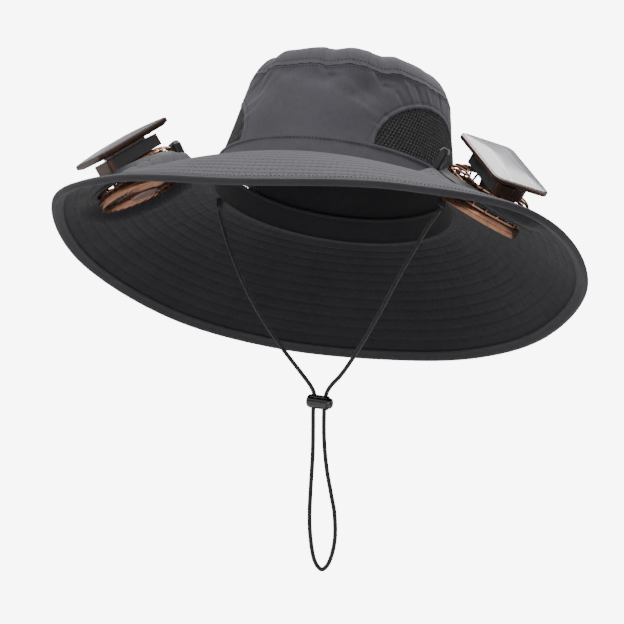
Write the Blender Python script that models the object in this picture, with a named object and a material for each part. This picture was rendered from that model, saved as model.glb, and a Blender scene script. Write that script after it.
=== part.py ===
"""A wide-brimmed sun hat with two solar fans let into its brim.

Metres, +Z up. The wearer faces -Y and the wearer's left is +X. The origin is the
middle of the head opening, level with the foot of the crown.
"""

import math

import bmesh
import bpy
from mathutils import Matrix, Vector

# Shared clearance
GAP = 0.0003

# Crown
CROWN_HALF_WIDTH = 0.088
CROWN_HALF_LENGTH = 0.1044
SIDE_HEIGHT = 0.075
TIP_RISE = 0.0208
TIP_TILT = 0.0028
CROWN_LEAN_X = 0.0023
CROWN_LEAN_Y = 0.0013
CLOTH_WALL = 0.0015
TIP_OVERHANG = 0.0006

# Bands at the foot of the crown
BAND_WALL = 0.0013
BAND_HEIGHT = 0.0147
SWEATBAND_WALL = 0.0014
SWEATBAND_HEIGHT = 0.0155
SWEATBAND_ROLL = 0.0026

# Brim
BRIM_WIDTH = 0.110
BRIM_THICKNESS = 0.0020
BRIM_CURVE = 1.35
BINDING_WIDTH = 0.0080
BINDING_WALL = 0.0010

# Half-moon vents in the crown's sides, set out on the crown's own surface
VENT_BEARING = -18.0
VENT_HALF_SPAN = 41.0
VENT_RISE = 0.0435
VENT_POINTS = 16

# Fan seats in the brim
SEAT_BEARING = -28.7
SEAT_SHARE = 0.471
SEAT_FLAT_MARGIN = 0.0070
SEAT_BLEND = 0.0200

# Fan units: heights run up the fan's axis from the grille's lower face
RING_RADIUS = 0.0317
RING_WALL = 0.0016
RING_HEIGHT = 0.0064
GRILLE_THICKNESS = 0.0014
GRILLE_SLOTS = 12
GRILLE_SWEEP = 38.0
GRILLE_SLOT_SHARE = 0.62
HUB_CAP_RADIUS = 0.0100
HUB_CAP_THICKNESS = 0.0012
SEAT_HEIGHT = 0.0120
CAGE_RADIUS = 0.0298
CAGE_WALL = 0.0013
CAGE_SHOULDER_SHARE = 0.80
CAGE_SILL = 0.0010
WINDOW_SHARE = 0.82
COLLAR_CLEARANCE = 0.0005
COLLAR_WALL = 0.0013
COLLAR_FLANGE = 0.0024
COLLAR_FLANGE_WALL = 0.0012
COLLAR_LIP = 0.0026
LINER_WALL = 0.0011
LINER_CLEARANCE = 0.0008
LINER_BELOW_SEAT = 0.0022
LINER_ABOVE_SEAT = 0.0010
ROTOR_CLEARANCE = 0.0009
ROTOR_HUB_RADIUS = 0.0085
ROTOR_BASE = 0.0030
ROTOR_HEIGHT = 0.0085
ROTOR_BLADES = 7
BLADE_TWIST = 24.0
BLADE_LOW_SWING = 0.2
BLADE_TIP_SHARE = 0.5
BLADE_ROOT_INSET = 0.0010
BLADE_STEPS = 2
SHAFT_RADIUS = 0.0016
SHAFT_CLEARANCE = 0.0004
MOTOR_RADIUS = 0.0072
BRACKET_WIDTH = 0.0120
BRACKET_DEPTH = 0.0062
BRACKET_HEIGHT = 0.0145
BRACKET_SLOT = 0.0022

# Solar head on each fan
HEAD_PITCH = 10.8
HEAD_ROLL = 9.2
HEAD_HEIGHT = 0.0401
BOX_HALF_LENGTH = 0.0232
BOX_HALF_DEPTH = 0.0116
BOX_HEIGHT = 0.0085
BOX_BELOW_PANEL = 0.0070
BOX_CORNER = 0.0040
BOX_CAP_LENGTH = 0.0050
PANEL_HALF_LENGTH = 0.0310
PANEL_HALF_DEPTH = 0.0224
PANEL_CORNER = 0.0062
PANEL_TRAY_RIM = 0.0016
PANEL_TRAY_DEPTH = 0.0032
PANEL_GLASS_INSET = 0.0012
PANEL_GLASS_EDGE = 0.0012
PANEL_CROWN = 0.0022
NECK_HALF_LENGTH = 0.0150
NECK_HALF_DEPTH = 0.0080

# Chin cord
CORD_DIAMETER = 0.0030
ANCHOR_WIDTH = 0.0070
ANCHOR_THICKNESS = 0.0034
ANCHOR_HEIGHT = 0.0062
LEFT_ANCHOR_BEARING = -13.5
RIGHT_ANCHOR_BEARING = 180.5

# Cord lock
LOCK_CENTRE = (0.0015, 0.0164, -0.1421)
LOCK_TILT = -5.0
LOCK_LEAN = -6.6
LOCK_HALF_LENGTH = 0.0095
LOCK_BARREL_END = 0.0066
LOCK_RADIUS = 0.0049
LOCK_HOLE_RADIUS = 0.0021
LOCK_HOLE_SPACING = 0.0080
LOCK_HOLE_OFFSET = -0.0003
PLUNGER_RADIUS = 0.0038
PLUNGER_START = 0.0004
PLUNGER_TRAVEL = 0.0016
PLUNGER_WEB = 0.0014

# How finely round things are divided
CROWN_STEPS = 40
FAN_STEPS = 24
CAGE_STEPS = 20
LOCK_STEPS = 14

# Crown side: share of its height, share of the foot's width and of its length
CROWN_ROWS = (
    (0.00, 1.000, 1.000),
    (0.20, 0.954, 0.945),
    (0.45, 0.910, 0.891),
    (0.70, 0.873, 0.843),
    (0.88, 0.848, 0.810),
    (1.00, 0.8275, 0.785),
)

# Crown tip: share of its outline's size, share of its rise
TIP_ROWS = (
    (1.00, 0.00),
    (0.92, 0.49),
    (0.75, 0.78),
    (0.45, 0.96),
    (0.16, 1.00),
)

# Folds and dents of the crown's side:
# bearing, share of the height, depth as a share of the foot's width,
# spread in degrees, spread as a share of the height
SIDE_FOLDS = (
    (-123.0, 0.80, -0.026, 9.0, 0.13),
    (-104.0, 0.93, -0.016, 8.0, 0.08),
    (-86.0, 0.86, -0.024, 11.0, 0.10),
    (-66.0, 0.74, -0.030, 7.0, 0.14),
    (-52.0, 0.90, -0.020, 9.0, 0.09),
    (-75.0, 0.55, 0.012, 10.0, 0.18),
    (-112.0, 0.50, 0.010, 11.0, 0.20),
    (62.0, 0.80, -0.022, 12.0, 0.13),
    (96.0, 0.70, -0.020, 10.0, 0.16),
    (128.0, 0.84, -0.024, 11.0, 0.12),
    (160.0, 0.90, 0.012, 12.0, 0.10),
)

# Dents of the crown's tip:
# place as shares of the foot's half width and half length,
# depth and spread as shares of the foot's half width
TIP_DENTS = (
    (-0.36, -0.38, -0.030, 0.26),
    (0.34, -0.22, -0.026, 0.24),
    (0.02, 0.40, -0.022, 0.34),
    (-0.05, -0.06, 0.012, 0.22),
)

# Brim's outline: bearing, outward reach and drop as shares of the brim's width;
# the other half mirrors it
RIM_ROWS = (
    (-90.0, 0.874, 0.470),
    (-60.0, 0.886, 0.390),
    (-30.0, 0.947, 0.344),
    (0.0, 0.876, 0.484),
    (30.0, 0.685, 0.635),
    (60.0, 0.578, 0.681),
    (90.0, 0.574, 0.672),
)
RIM_ROW_STEP = 30.0

# Shares of the brim's reach where its sheet has a row of points
BRIM_SHARES = (0.0, 0.10, 0.20, 0.34, 0.50, 0.66, 0.81)

# Fan units: name, side (+1 is the wearer's left), rise of the seat above the brim's
# plain sweep, tilt of the axis, its heading from straight ahead, spin of the box,
# bearing of the clip on the cage
FAN_ROWS = (
    ("left", 1, -0.0024, 32.2, 66.7, 12.9, 225.0),
    ("right", -1, 0.0060, 32.4, 60.9, 15.8, 180.0),
)

# Chin cord, from the wearer's right to the wearer's left, through the lock twice
CORD_ROUTE = (
    (-0.0850, -0.0006, -0.0100),
    (-0.0829, 0.0015, -0.0180),
    (-0.0716, 0.0045, -0.0436),
    (-0.0581, 0.0078, -0.0680),
    (-0.0437, 0.0102, -0.0886),
    (-0.0285, 0.0123, -0.1066),
    (-0.0150, 0.0139, -0.1211),
    (-0.0062, 0.0150, -0.1308),
    (-0.0028, 0.0158, -0.1368),
    (-0.0026, 0.0164, -0.1418),
    (-0.0026, 0.0171, -0.1480),
    (-0.0014, 0.0186, -0.1619),
    (-0.0002, 0.0205, -0.1784),
    (0.0003, 0.0227, -0.1977),
    (0.0010, 0.0250, -0.2171),
    (0.0025, 0.0266, -0.2314),
    (0.0056, 0.0282, -0.2455),
    (0.0089, 0.0291, -0.2531),
    (0.0133, 0.0295, -0.2565),
    (0.0172, 0.0291, -0.2530),
    (0.0199, 0.0281, -0.2445),
    (0.0208, 0.0268, -0.2329),
    (0.0190, 0.0250, -0.2177),
    (0.0154, 0.0235, -0.2045),
    (0.0107, 0.0216, -0.1874),
    (0.0072, 0.0194, -0.1683),
    (0.0054, 0.0172, -0.1488),
    (0.0054, 0.0164, -0.1425),
    (0.0060, 0.0156, -0.1360),
    (0.0092, 0.0146, -0.1300),
    (0.0156, 0.0132, -0.1227),
    (0.0247, 0.0099, -0.1093),
    (0.0393, 0.0027, -0.0844),
    (0.0548, -0.0058, -0.0551),
    (0.0714, -0.0142, -0.0261),
    (0.0790, -0.0179, -0.0150),
    (0.0826, -0.0197, -0.0104),
)
CORD_POINTS = 56

CLOTH_GREY = (0.100, 0.098, 0.108)
UNDERSIDE_CHARCOAL = (0.018, 0.018, 0.020)
MESH_BLACK = (0.012, 0.012, 0.013)
CORD_BLACK = (0.009, 0.009, 0.010)
GLOSS_BLACK = (0.006, 0.006, 0.007)
COPPER = (0.36, 0.19, 0.12)
CAP_ROSE = (0.34, 0.23, 0.20)
BOX_GREY = (0.062, 0.062, 0.066)
BOX_BROWN = (0.105, 0.064, 0.050)
CELL_GREY = (0.20, 0.20, 0.22)


# Small helpers


def clear_scene():
    for old in list(bpy.data.objects):
        bpy.data.objects.remove(old, do_unlink=True)


def material(name, colour, roughness, metallic=0.0):
    made = bpy.data.materials.new(name)
    made.use_nodes = True
    shader = made.node_tree.nodes["Principled BSDF"]
    shader.inputs["Base Color"].default_value = (*colour, 1.0)
    shader.inputs["Roughness"].default_value = roughness
    shader.inputs["Metallic"].default_value = metallic
    return made


def smooth(value):
    held = min(1.0, max(0.0, value))
    return held * held * (3.0 - 2.0 * held)


def polar(radius, bearing, z):
    turn = math.radians(bearing)
    return Vector((radius * math.cos(turn), radius * math.sin(turn), z))


def oval_radius(half_width, half_length, bearing):
    turn = math.radians(bearing)
    across = half_length * math.cos(turn)
    along = half_width * math.sin(turn)
    return half_width * half_length / math.hypot(across, along)


def row_value(rows, column, share):
    """Column of a table of rows, read between its rows at a share."""
    for low, high in zip(rows, rows[1:]):
        if share <= high[0]:
            part = (share - low[0]) / (high[0] - low[0])
            return low[column] + (high[column] - low[column]) * part
    return rows[-1][column]


def turn_gap(bearing, other):
    return (bearing - other + 180.0) % 360.0 - 180.0


def add_body(name, rings, look, closed=False, place=None):
    """Skin a run of equal rings; the ends are capped, or joined when closed."""
    made = bmesh.new()
    loops = [[made.verts.new(point) for point in ring] for ring in rings]
    count = len(loops[0])
    pairs = list(zip(loops, loops[1:]))
    if closed:
        pairs.append((loops[-1], loops[0]))
    for low, high in pairs:
        for i in range(count):
            j = (i + 1) % count
            made.faces.new((low[i], low[j], high[j], high[i]))
    if not closed:
        made.faces.new(list(reversed(loops[0])))
        made.faces.new(loops[-1])
    bmesh.ops.recalc_face_normals(made, faces=made.faces)
    mesh = bpy.data.meshes.new(name)
    made.to_mesh(mesh)
    made.free()
    mesh.shade_smooth()
    mesh.set_sharp_from_angle(angle=math.radians(32.0))
    body = bpy.data.objects.new(name, mesh)
    bpy.context.scene.collection.objects.link(body)
    if look is not None:
        mesh.materials.append(look)
    if place is not None:
        body.matrix_world = place
    return body


def boolean(body, tool, operation="DIFFERENCE"):
    """Cut a body with a tool, which is kept as a hidden guide."""
    tool.hide_render = True
    tool.display_type = "WIRE"
    step = body.modifiers.new(operation.title(), "BOOLEAN")
    step.operation = operation
    step.solver = "EXACT"
    step.object = tool


def round_section(radius, steps, centre=(0.0, 0.0), start=0.0):
    points = []
    for i in range(steps):
        turn = start + math.tau * i / steps
        points.append((centre[0] + radius * math.cos(turn), centre[1] + radius * math.sin(turn)))
    return points


def rounded_box(half_length, half_depth, corner, arc_points=4):
    """Outline of a rectangle with round corners, anticlockwise."""
    points = []
    for side_x, side_y, start in ((1, 1, 0), (-1, 1, 90), (-1, -1, 180), (1, -1, 270)):
        for i in range(arc_points):
            turn = math.radians(start + 90.0 * i / (arc_points - 1))
            x = side_x * (half_length - corner) + corner * math.cos(turn)
            y = side_y * (half_depth - corner) + corner * math.sin(turn)
            points.append((x, y))
    return points


def stack(outlines_and_heights):
    return [[Vector((x, y, z)) for x, y in outline] for outline, z in outlines_and_heights]


def turned(name, profile, look, steps, place=None):
    """Turn a closed profile of (radius, height) points about Z."""
    rings = []
    for i in range(steps):
        turn = math.tau * i / steps
        rings.append([Vector((r * math.cos(turn), r * math.sin(turn), z)) for r, z in profile])
    return add_body(name, rings, look, closed=True, place=place)


# Crown


def foot_radius(bearing, inset=0.0):
    return oval_radius(CROWN_HALF_WIDTH, CROWN_HALF_LENGTH, bearing) - inset


def side_fold(bearing, share):
    depth = 0.0
    for at, height, size, spread, tall in SIDE_FOLDS:
        across = turn_gap(bearing, at) / spread
        up = (share - height) / tall
        depth += size * math.exp(-across * across - up * up)
    return depth * CROWN_HALF_WIDTH


def crown_point(bearing, share, inset, overhang=0.0):
    """Point on the crown's side, an inset in from the hatband's outer face."""
    width = row_value(CROWN_ROWS, 1, share) * CROWN_HALF_WIDTH
    length = row_value(CROWN_ROWS, 2, share) * CROWN_HALF_LENGTH
    radius = oval_radius(width, length, bearing) + side_fold(bearing, share) - inset + overhang
    tilt = TIP_TILT * share * math.sin(math.radians(bearing))
    place = polar(radius, bearing, GAP + SIDE_HEIGHT * share + tilt)
    place.x += CROWN_LEAN_X * share
    place.y += CROWN_LEAN_Y * share
    return place


def tip_dent(x, y):
    depth = 0.0
    for at_x, at_y, size, spread in TIP_DENTS:
        reach = spread * CROWN_HALF_WIDTH
        away = math.hypot(x - at_x * CROWN_HALF_WIDTH, y - at_y * CROWN_HALF_LENGTH) / reach
        depth += size * math.exp(-away * away)
    return depth * CROWN_HALF_WIDTH


def tip_point(bearing, size, rise, drop, shrink):
    """Point of the crown's tip, a drop below its outer face."""
    edge = crown_point(bearing, 1.0, WALL_INSET, TIP_OVERHANG - shrink)
    middle = Vector((CROWN_LEAN_X, CROWN_LEAN_Y, GAP + SIDE_HEIGHT))
    place = middle + (edge - middle) * size
    dent = tip_dent(place.x, place.y) * smooth((1.0 - size) / 0.3)
    place.z += GAP + CLOTH_WALL + TIP_RISE * rise + dent - drop
    return place


WALL_INSET = BAND_WALL + GAP
LINER_INSET = WALL_INSET + CLOTH_WALL + GAP


def crown_bearings():
    return [360.0 * i / CROWN_STEPS for i in range(CROWN_STEPS)]


def make_crown_side(look):
    shares = [row[0] for row in CROWN_ROWS]
    shares.insert(5, 0.94)
    shares.insert(3, 0.58)
    rings = []
    for bearing in crown_bearings():
        outer = [crown_point(bearing, share, WALL_INSET) for share in shares]
        inner = [crown_point(bearing, share, WALL_INSET + CLOTH_WALL) for share in shares]
        rings.append(outer + list(reversed(inner)))
    return add_body("crown_side", rings, look, closed=True)


def make_crown_tip(look):
    rings = []
    for size, rise in reversed(TIP_ROWS):
        rings.append([tip_point(b, size, rise, 0.0, 0.0) for b in crown_bearings()])
    for size, rise in TIP_ROWS:
        rings.append([tip_point(b, size, rise, CLOTH_WALL, 0.0) for b in crown_bearings()])
    return add_body("crown_tip", rings, look)


def vent_outline(shrink):
    """Half-moon as (bearing offset, height) points, drawn in by a shrink."""
    angle_shrink = math.degrees(shrink / CROWN_HALF_WIDTH)
    span = VENT_HALF_SPAN - angle_shrink
    points = []
    for i in range(VENT_POINTS + 1):
        turn = math.pi * i / VENT_POINTS
        height = (VENT_RISE - 2.0 * shrink) * math.sin(turn)
        points.append((span * math.cos(turn), BAND_HEIGHT + GAP + shrink + height))
    return points


def vent_block(name, side, inner_inset, outer_reach, shrink):
    """A block through the crown's wall with the vent's half-moon outline."""
    bearing = VENT_BEARING if side > 0 else 180.0 - VENT_BEARING
    made = bmesh.new()
    outline = vent_outline(shrink)
    rows = []
    for inset in (inner_inset, -outer_reach):
        row = []
        for offset, height in outline:
            share = (height - GAP) / SIDE_HEIGHT
            place = crown_point(bearing + side * offset, share, WALL_INSET + inset)
            foot_share = (outline[0][1] - GAP) / SIDE_HEIGHT
            foot = crown_point(bearing + side * offset, foot_share, WALL_INSET + inset)
            row.append((made.verts.new(foot), made.verts.new(place)))
        rows.append(row)
    inner, outer = rows
    last = len(outline) - 1
    for i in range(last):
        made.faces.new((inner[i][1], inner[i + 1][1], outer[i + 1][1], outer[i][1]))
        made.faces.new((inner[i][0], outer[i][0], outer[i + 1][0], inner[i + 1][0]))
        made.faces.new((inner[i][0], inner[i + 1][0], inner[i + 1][1], inner[i][1]))
        made.faces.new((outer[i][0], outer[i][1], outer[i + 1][1], outer[i + 1][0]))
    bmesh.ops.remove_doubles(made, verts=made.verts, dist=0.00005)
    bmesh.ops.dissolve_degenerate(made, edges=made.edges, dist=0.00001)
    bmesh.ops.recalc_face_normals(made, faces=made.faces)
    mesh = bpy.data.meshes.new(name)
    made.to_mesh(mesh)
    made.free()
    block = bpy.data.objects.new(name, mesh)
    bpy.context.scene.collection.objects.link(block)
    return block


def make_band(name, look, base, height, inset, wall, roll=0.0):
    """An upright band that follows the crown's foot."""
    rings = []
    top = (height - GAP) / SIDE_HEIGHT
    roll_share = (height - roll - GAP) / SIDE_HEIGHT
    for bearing in crown_bearings():
        low_out = crown_point(bearing, 0.0, inset)
        low_in = crown_point(bearing, 0.0, inset + wall)
        low_out.z = base
        low_in.z = base
        high_out = crown_point(bearing, top, inset)
        high_in = crown_point(bearing, top, inset + wall)
        if roll > 0.0:
            under_roll = crown_point(bearing, roll_share, inset + wall)
            roll_low = crown_point(bearing, roll_share, inset + roll)
            roll_high = crown_point(bearing, top, inset + roll)
            rings.append([low_out, high_out, roll_high, roll_low, under_roll, low_in])
        else:
            rings.append([low_out, high_out, high_in, low_in])
    return add_body(name, rings, look, closed=True)


# Brim


def rim_value(column, bearing):
    """Reach or drop of the rim on a smooth curve through the rim's rows."""
    values = [row[column] for row in RIM_ROWS]
    ring = values + values[-2:0:-1]
    place = (turn_gap(bearing, -90.0) % 360.0) / RIM_ROW_STEP
    i = int(place)
    part = place - i
    a, b, c, d = (ring[(i + k) % len(ring)] for k in (-1, 0, 1, 2))
    curve = 2.0 * b + (c - a) * part + (2.0 * a - 5.0 * b + 4.0 * c - d) * part ** 2
    curve += (3.0 * b - a - 3.0 * c + d) * part ** 3
    return 0.5 * curve * BRIM_WIDTH


def plain_brim_point(bearing, share):
    """Middle of the brim's cloth before the fans' seats shape it."""
    radius = foot_radius(bearing) + rim_value(1, bearing) * share
    drop = rim_value(2, bearing) * max(0.0, share) ** BRIM_CURVE
    return polar(radius, bearing, -BRIM_THICKNESS / 2.0 - drop)


def seat_bearing(side):
    return SEAT_BEARING if side > 0 else 180.0 - SEAT_BEARING


class FanFrame:
    """Place of one fan: its seat in the brim and the axes of its ring and head."""

    def __init__(self, row):
        self.name, self.side, rise, tilt, heading, spin, self.clip_bearing = row
        lean = math.radians(tilt)
        ahead = math.radians(heading)
        axis = Vector((
            self.side * math.sin(lean) * math.sin(ahead),
            -math.sin(lean) * math.cos(ahead),
            math.cos(lean),
        ))
        downhill = Vector((axis.x * axis.z, axis.y * axis.z, axis.z ** 2 - 1.0)).normalized()
        turn = Matrix.Rotation(math.radians(-self.side * spin), 3, axis)
        along = turn @ downhill
        across = axis.cross(along)
        self.axis = axis
        self.seat = plain_brim_point(seat_bearing(self.side), SEAT_SHARE)
        self.seat.z += rise
        origin = self.seat - axis * SEAT_HEIGHT
        turn_matrix = Matrix((along, across, axis)).transposed().to_4x4()
        self.ring = Matrix.Translation(origin) @ turn_matrix
        tip = Vector((self.side * math.radians(HEAD_ROLL), math.radians(HEAD_PITCH), 0.0))
        tilt_matrix = Matrix.Rotation(tip.length, 4, tip)
        self.head = self.ring @ Matrix.Translation((0.0, 0.0, HEAD_HEIGHT)) @ tilt_matrix


FANS = [FanFrame(row) for row in FAN_ROWS]
SEAT_HOLE_RADIUS = CAGE_RADIUS + COLLAR_CLEARANCE + COLLAR_WALL + GAP
SEAT_FLAT_RADIUS = SEAT_HOLE_RADIUS + SEAT_FLAT_MARGIN


def seat_plane(fan, place):
    """Height of a fan's seat plane above its middle, and how far out along it."""
    away = place - fan.seat
    level = -(fan.axis.x * away.x + fan.axis.y * away.y) / fan.axis.z
    return level, Vector((away.x, away.y, level)).length


def brim_point(bearing, share):
    """Middle of the brim's cloth; round a fan it lies square to the fan's axis."""
    place = plain_brim_point(bearing, share)
    for fan in FANS:
        level, distance = seat_plane(fan, place)
        blend = 1.0 - smooth((distance - SEAT_FLAT_RADIUS) / SEAT_BLEND)
        place.z += (fan.seat.z + level - place.z) * blend
    return place


def brim_normal(bearing, share):
    step = 0.004
    outward = brim_point(bearing, share + step) - brim_point(bearing, share - step)
    around = brim_point(bearing + 0.5, share) - brim_point(bearing - 0.5, share)
    return outward.cross(around).normalized()


def brim_offset(bearing, back, height):
    """Point near the rim: so far back from it, so high off the cloth's middle."""
    reach = (plain_brim_point(bearing, 1.0) - plain_brim_point(bearing, 0.9)).length / 0.1
    share = 1.0 - back / reach
    return brim_point(bearing, share) + brim_normal(bearing, share) * height


def brim_bearings():
    """Even steps round the brim, halved beside the fans."""
    step = 360.0 / CROWN_STEPS
    bearings = []
    for i in range(CROWN_STEPS):
        bearing = step * i
        bearings.append(bearing)
        nearest = min(abs(turn_gap(bearing + step / 2.0, seat_bearing(side))) for side in (1, -1))
        if nearest < 24.0:
            bearings.append(bearing + step / 2.0)
    return bearings


def brim_shares(bearing):
    """Rows of the brim's sheet; beside a fan two of them follow the seat's edge."""
    fan = min(FANS, key=lambda each: abs(turn_gap(bearing, seat_bearing(each.side))))
    shares = [i / 80.0 for i in range(81)]
    distances = [seat_plane(fan, plain_brim_point(bearing, share))[1] for share in shares]
    miss = min(distances)
    held_radius = max(SEAT_FLAT_RADIUS, math.hypot(miss, SEAT_FLAT_RADIUS * 0.4))
    held = [share for share, distance in zip(shares, distances) if distance <= held_radius]
    enter = held[0]
    leave = held[-1]
    seated = (
        0.0,
        enter * 0.5,
        enter,
        enter + (leave - enter) / 3.0,
        leave - (leave - enter) / 3.0,
        leave,
        leave + (1.0 - leave) * 0.35,
    )
    weight = 1.0 - smooth((miss / SEAT_FLAT_RADIUS - 1.0) / 0.6)
    return [plain + (held - plain) * weight for plain, held in zip(BRIM_SHARES, seated)]


def make_brim(look):
    rings = []
    half = BRIM_THICKNESS / 2.0
    inner_inset = WALL_INSET + CLOTH_WALL
    edge_back = BINDING_WALL + GAP
    for bearing in brim_bearings():
        rows = []
        shares = brim_shares(bearing)
        for height in (half, -half):
            row = [polar(foot_radius(bearing, inner_inset), bearing, -half + height)]
            for share in shares:
                up = Vector((0.0, 0.0, 1.0)) if share == 0.0 else brim_normal(bearing, share)
                row.append(brim_point(bearing, share) + up * height)
            row.append(brim_offset(bearing, BINDING_WIDTH, height))
            row.append(brim_offset(bearing, edge_back, height))
            rows.append(row)
        rings.append(rows[0] + list(reversed(rows[1])))
    return add_body("brim", rings, look, closed=True)


def make_binding(look):
    inner = BRIM_THICKNESS / 2.0 + GAP
    outer = inner + BINDING_WALL
    nose = BINDING_WALL * 0.5
    section = (
        (BINDING_WIDTH, outer),
        (nose, outer),
        (0.0, 0.0),
        (nose, -outer),
        (BINDING_WIDTH, -outer),
        (BINDING_WIDTH, -inner),
        (BINDING_WALL, -inner),
        (BINDING_WALL, inner),
        (BINDING_WIDTH, inner),
    )
    rings = []
    for bearing in brim_bearings():
        rings.append([brim_offset(bearing, back, height) for back, height in section])
    return add_body("brim_binding", rings, look, closed=True)


# Fans


CAGE_TOP_RADIUS = CAGE_RADIUS * 0.62
LINER_RADIUS = CAGE_RADIUS - CAGE_WALL - LINER_CLEARANCE


def ring_sector(name, inner, outer, low, high, start, sweep, lean, steps, place):
    """A curved block between two radii, whose outer end is turned on by a lean."""
    rings = []
    radial_steps = 2 if lean else 1
    for i in range(radial_steps + 1):
        part = i / radial_steps
        radius = inner + (outer - inner) * part
        middle = start + lean * part
        row = []
        for z in (low, high):
            turns = [middle - sweep / 2.0 + sweep * k / steps for k in range(steps + 1)]
            if z == high:
                turns.reverse()
            row.extend(polar(radius, turn, z) for turn in turns)
        rings.append(row)
    return add_body(name, rings, None, place=place)


def joined(name, bodies):
    """Join loose cutters into one guide."""
    made = bmesh.new()
    for body in bodies:
        part = body.data.copy()
        part.transform(body.matrix_basis)
        made.from_mesh(part)
        bpy.data.objects.remove(body, do_unlink=True)
    mesh = bpy.data.meshes.new(name)
    made.to_mesh(mesh)
    made.free()
    result = bpy.data.objects.new(name, mesh)
    bpy.context.scene.collection.objects.link(result)
    return result


def make_ring(fan, look):
    """Copper ring with the spiral grille cut through its floor."""
    profile = [
        (HUB_CAP_RADIUS * 0.45, 0.0),
        (RING_RADIUS - RING_WALL * 0.4, 0.0),
        (RING_RADIUS, RING_WALL * 0.4),
        (RING_RADIUS, RING_HEIGHT),
        (RING_RADIUS - RING_WALL, RING_HEIGHT),
        (RING_RADIUS - RING_WALL, GRILLE_THICKNESS),
        (HUB_CAP_RADIUS * 0.45, GRILLE_THICKNESS),
    ]
    ring = turned("fan_ring_" + fan.name, profile, look, FAN_STEPS, fan.ring)
    slots = []
    pitch = 360.0 / GRILLE_SLOTS
    for i in range(GRILLE_SLOTS):
        slots.append(ring_sector(
            "slot", HUB_CAP_RADIUS + 0.0008, RING_RADIUS - RING_WALL - 0.0008,
            -0.001, GRILLE_THICKNESS + 0.001, pitch * i, pitch * GRILLE_SLOT_SHARE,
            GRILLE_SWEEP, 1, fan.ring,
        ))
    boolean(ring, joined("fan_ring_slots_" + fan.name, slots))
    return ring


def make_hub_cap(fan, look):
    """Round cap with a bevelled lower edge under the middle of the grille."""
    bearings = [360.0 * i / FAN_STEPS for i in range(FAN_STEPS)]
    rings = []
    for radius, height in (
        (HUB_CAP_RADIUS * 0.88, -GAP - HUB_CAP_THICKNESS),
        (HUB_CAP_RADIUS, -GAP - HUB_CAP_THICKNESS * 0.4),
        (HUB_CAP_RADIUS, -GAP),
    ):
        rings.append([polar(radius, bearing, height) for bearing in bearings])
    return add_body("hub_cap_" + fan.name, rings, look, place=fan.ring)


def head_underside(fan, radius, bearing, below):
    """Point of the fan's axes straight under the battery box, a distance below it."""
    local = fan.ring.inverted() @ fan.head
    normal = local.to_3x3() @ Vector((0.0, 0.0, 1.0))
    middle = local.translation - normal * (BOX_BELOW_PANEL + BOX_HEIGHT + below)
    place = polar(radius, bearing, 0.0)
    away = place - middle
    place.z = middle.z - (normal.x * away.x + normal.y * away.y) / normal.z
    return place


def cage_rows(fan):
    """Rows of points from the cage's foot to its top, outer face then inner face."""
    floor = RING_HEIGHT + GAP
    rings = []
    for i in range(CAGE_STEPS):
        bearing = 360.0 * (i + 0.5) / CAGE_STEPS
        faces = []
        for inset in (0.0, CAGE_WALL):
            radius = CAGE_RADIUS - inset
            top = head_underside(fan, CAGE_TOP_RADIUS - inset, bearing, GAP)
            limit = head_underside(fan, radius, bearing, GAP + CAGE_WALL * 2.0 + inset * 0.5)
            shoulder = polar(radius, bearing, floor + (top.z - floor) * CAGE_SHOULDER_SHARE)
            shoulder.z = min(shoulder.z, limit.z) - inset * 0.4
            bend = shoulder.lerp(top, 0.4)
            room = head_underside(fan, bend.xy.length, bearing, GAP + CAGE_WALL * 0.5 + inset * 0.4)
            bend.z = min(shoulder.z + (top.z - shoulder.z) * 0.7, room.z)
            faces.append([polar(radius, bearing, floor), shoulder, bend, top])
        rings.append(faces[0] + list(reversed(faces[1])))
    return rings


def make_cage(fan, look):
    """Domed cage from the ring up to the battery box, its wall cut into ribs."""
    cage = add_body("rib_cage_" + fan.name, cage_rows(fan), look, closed=True, place=fan.ring)
    pitch = 360.0 / CAGE_STEPS
    low = RING_HEIGHT + GAP + CAGE_SILL
    windows = []
    for i in range(CAGE_STEPS):
        high = head_underside(fan, CAGE_RADIUS, pitch * i, GAP + CAGE_SILL * 2.0).z
        windows.append(ring_sector(
            "window", CAGE_RADIUS * 0.72, CAGE_RADIUS + 0.002, low, high,
            pitch * i, pitch * WINDOW_SHARE, 0.0, 1, fan.ring,
        ))
    boolean(cage, joined("rib_cage_windows_" + fan.name, windows))
    return cage


def make_liner(fan, look):
    """Dark band that ducts the air past the collar, inside the ribs."""
    low = SEAT_HEIGHT - LINER_BELOW_SEAT
    high = SEAT_HEIGHT + LINER_ABOVE_SEAT
    profile = [
        (LINER_RADIUS - LINER_WALL, low),
        (LINER_RADIUS, low),
        (LINER_RADIUS, high),
        (LINER_RADIUS - LINER_WALL, high),
    ]
    return turned("air_frame_" + fan.name, profile, look, CAGE_STEPS, fan.ring)


ROTOR_RADIUS = LINER_RADIUS - LINER_WALL - ROTOR_CLEARANCE


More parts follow.
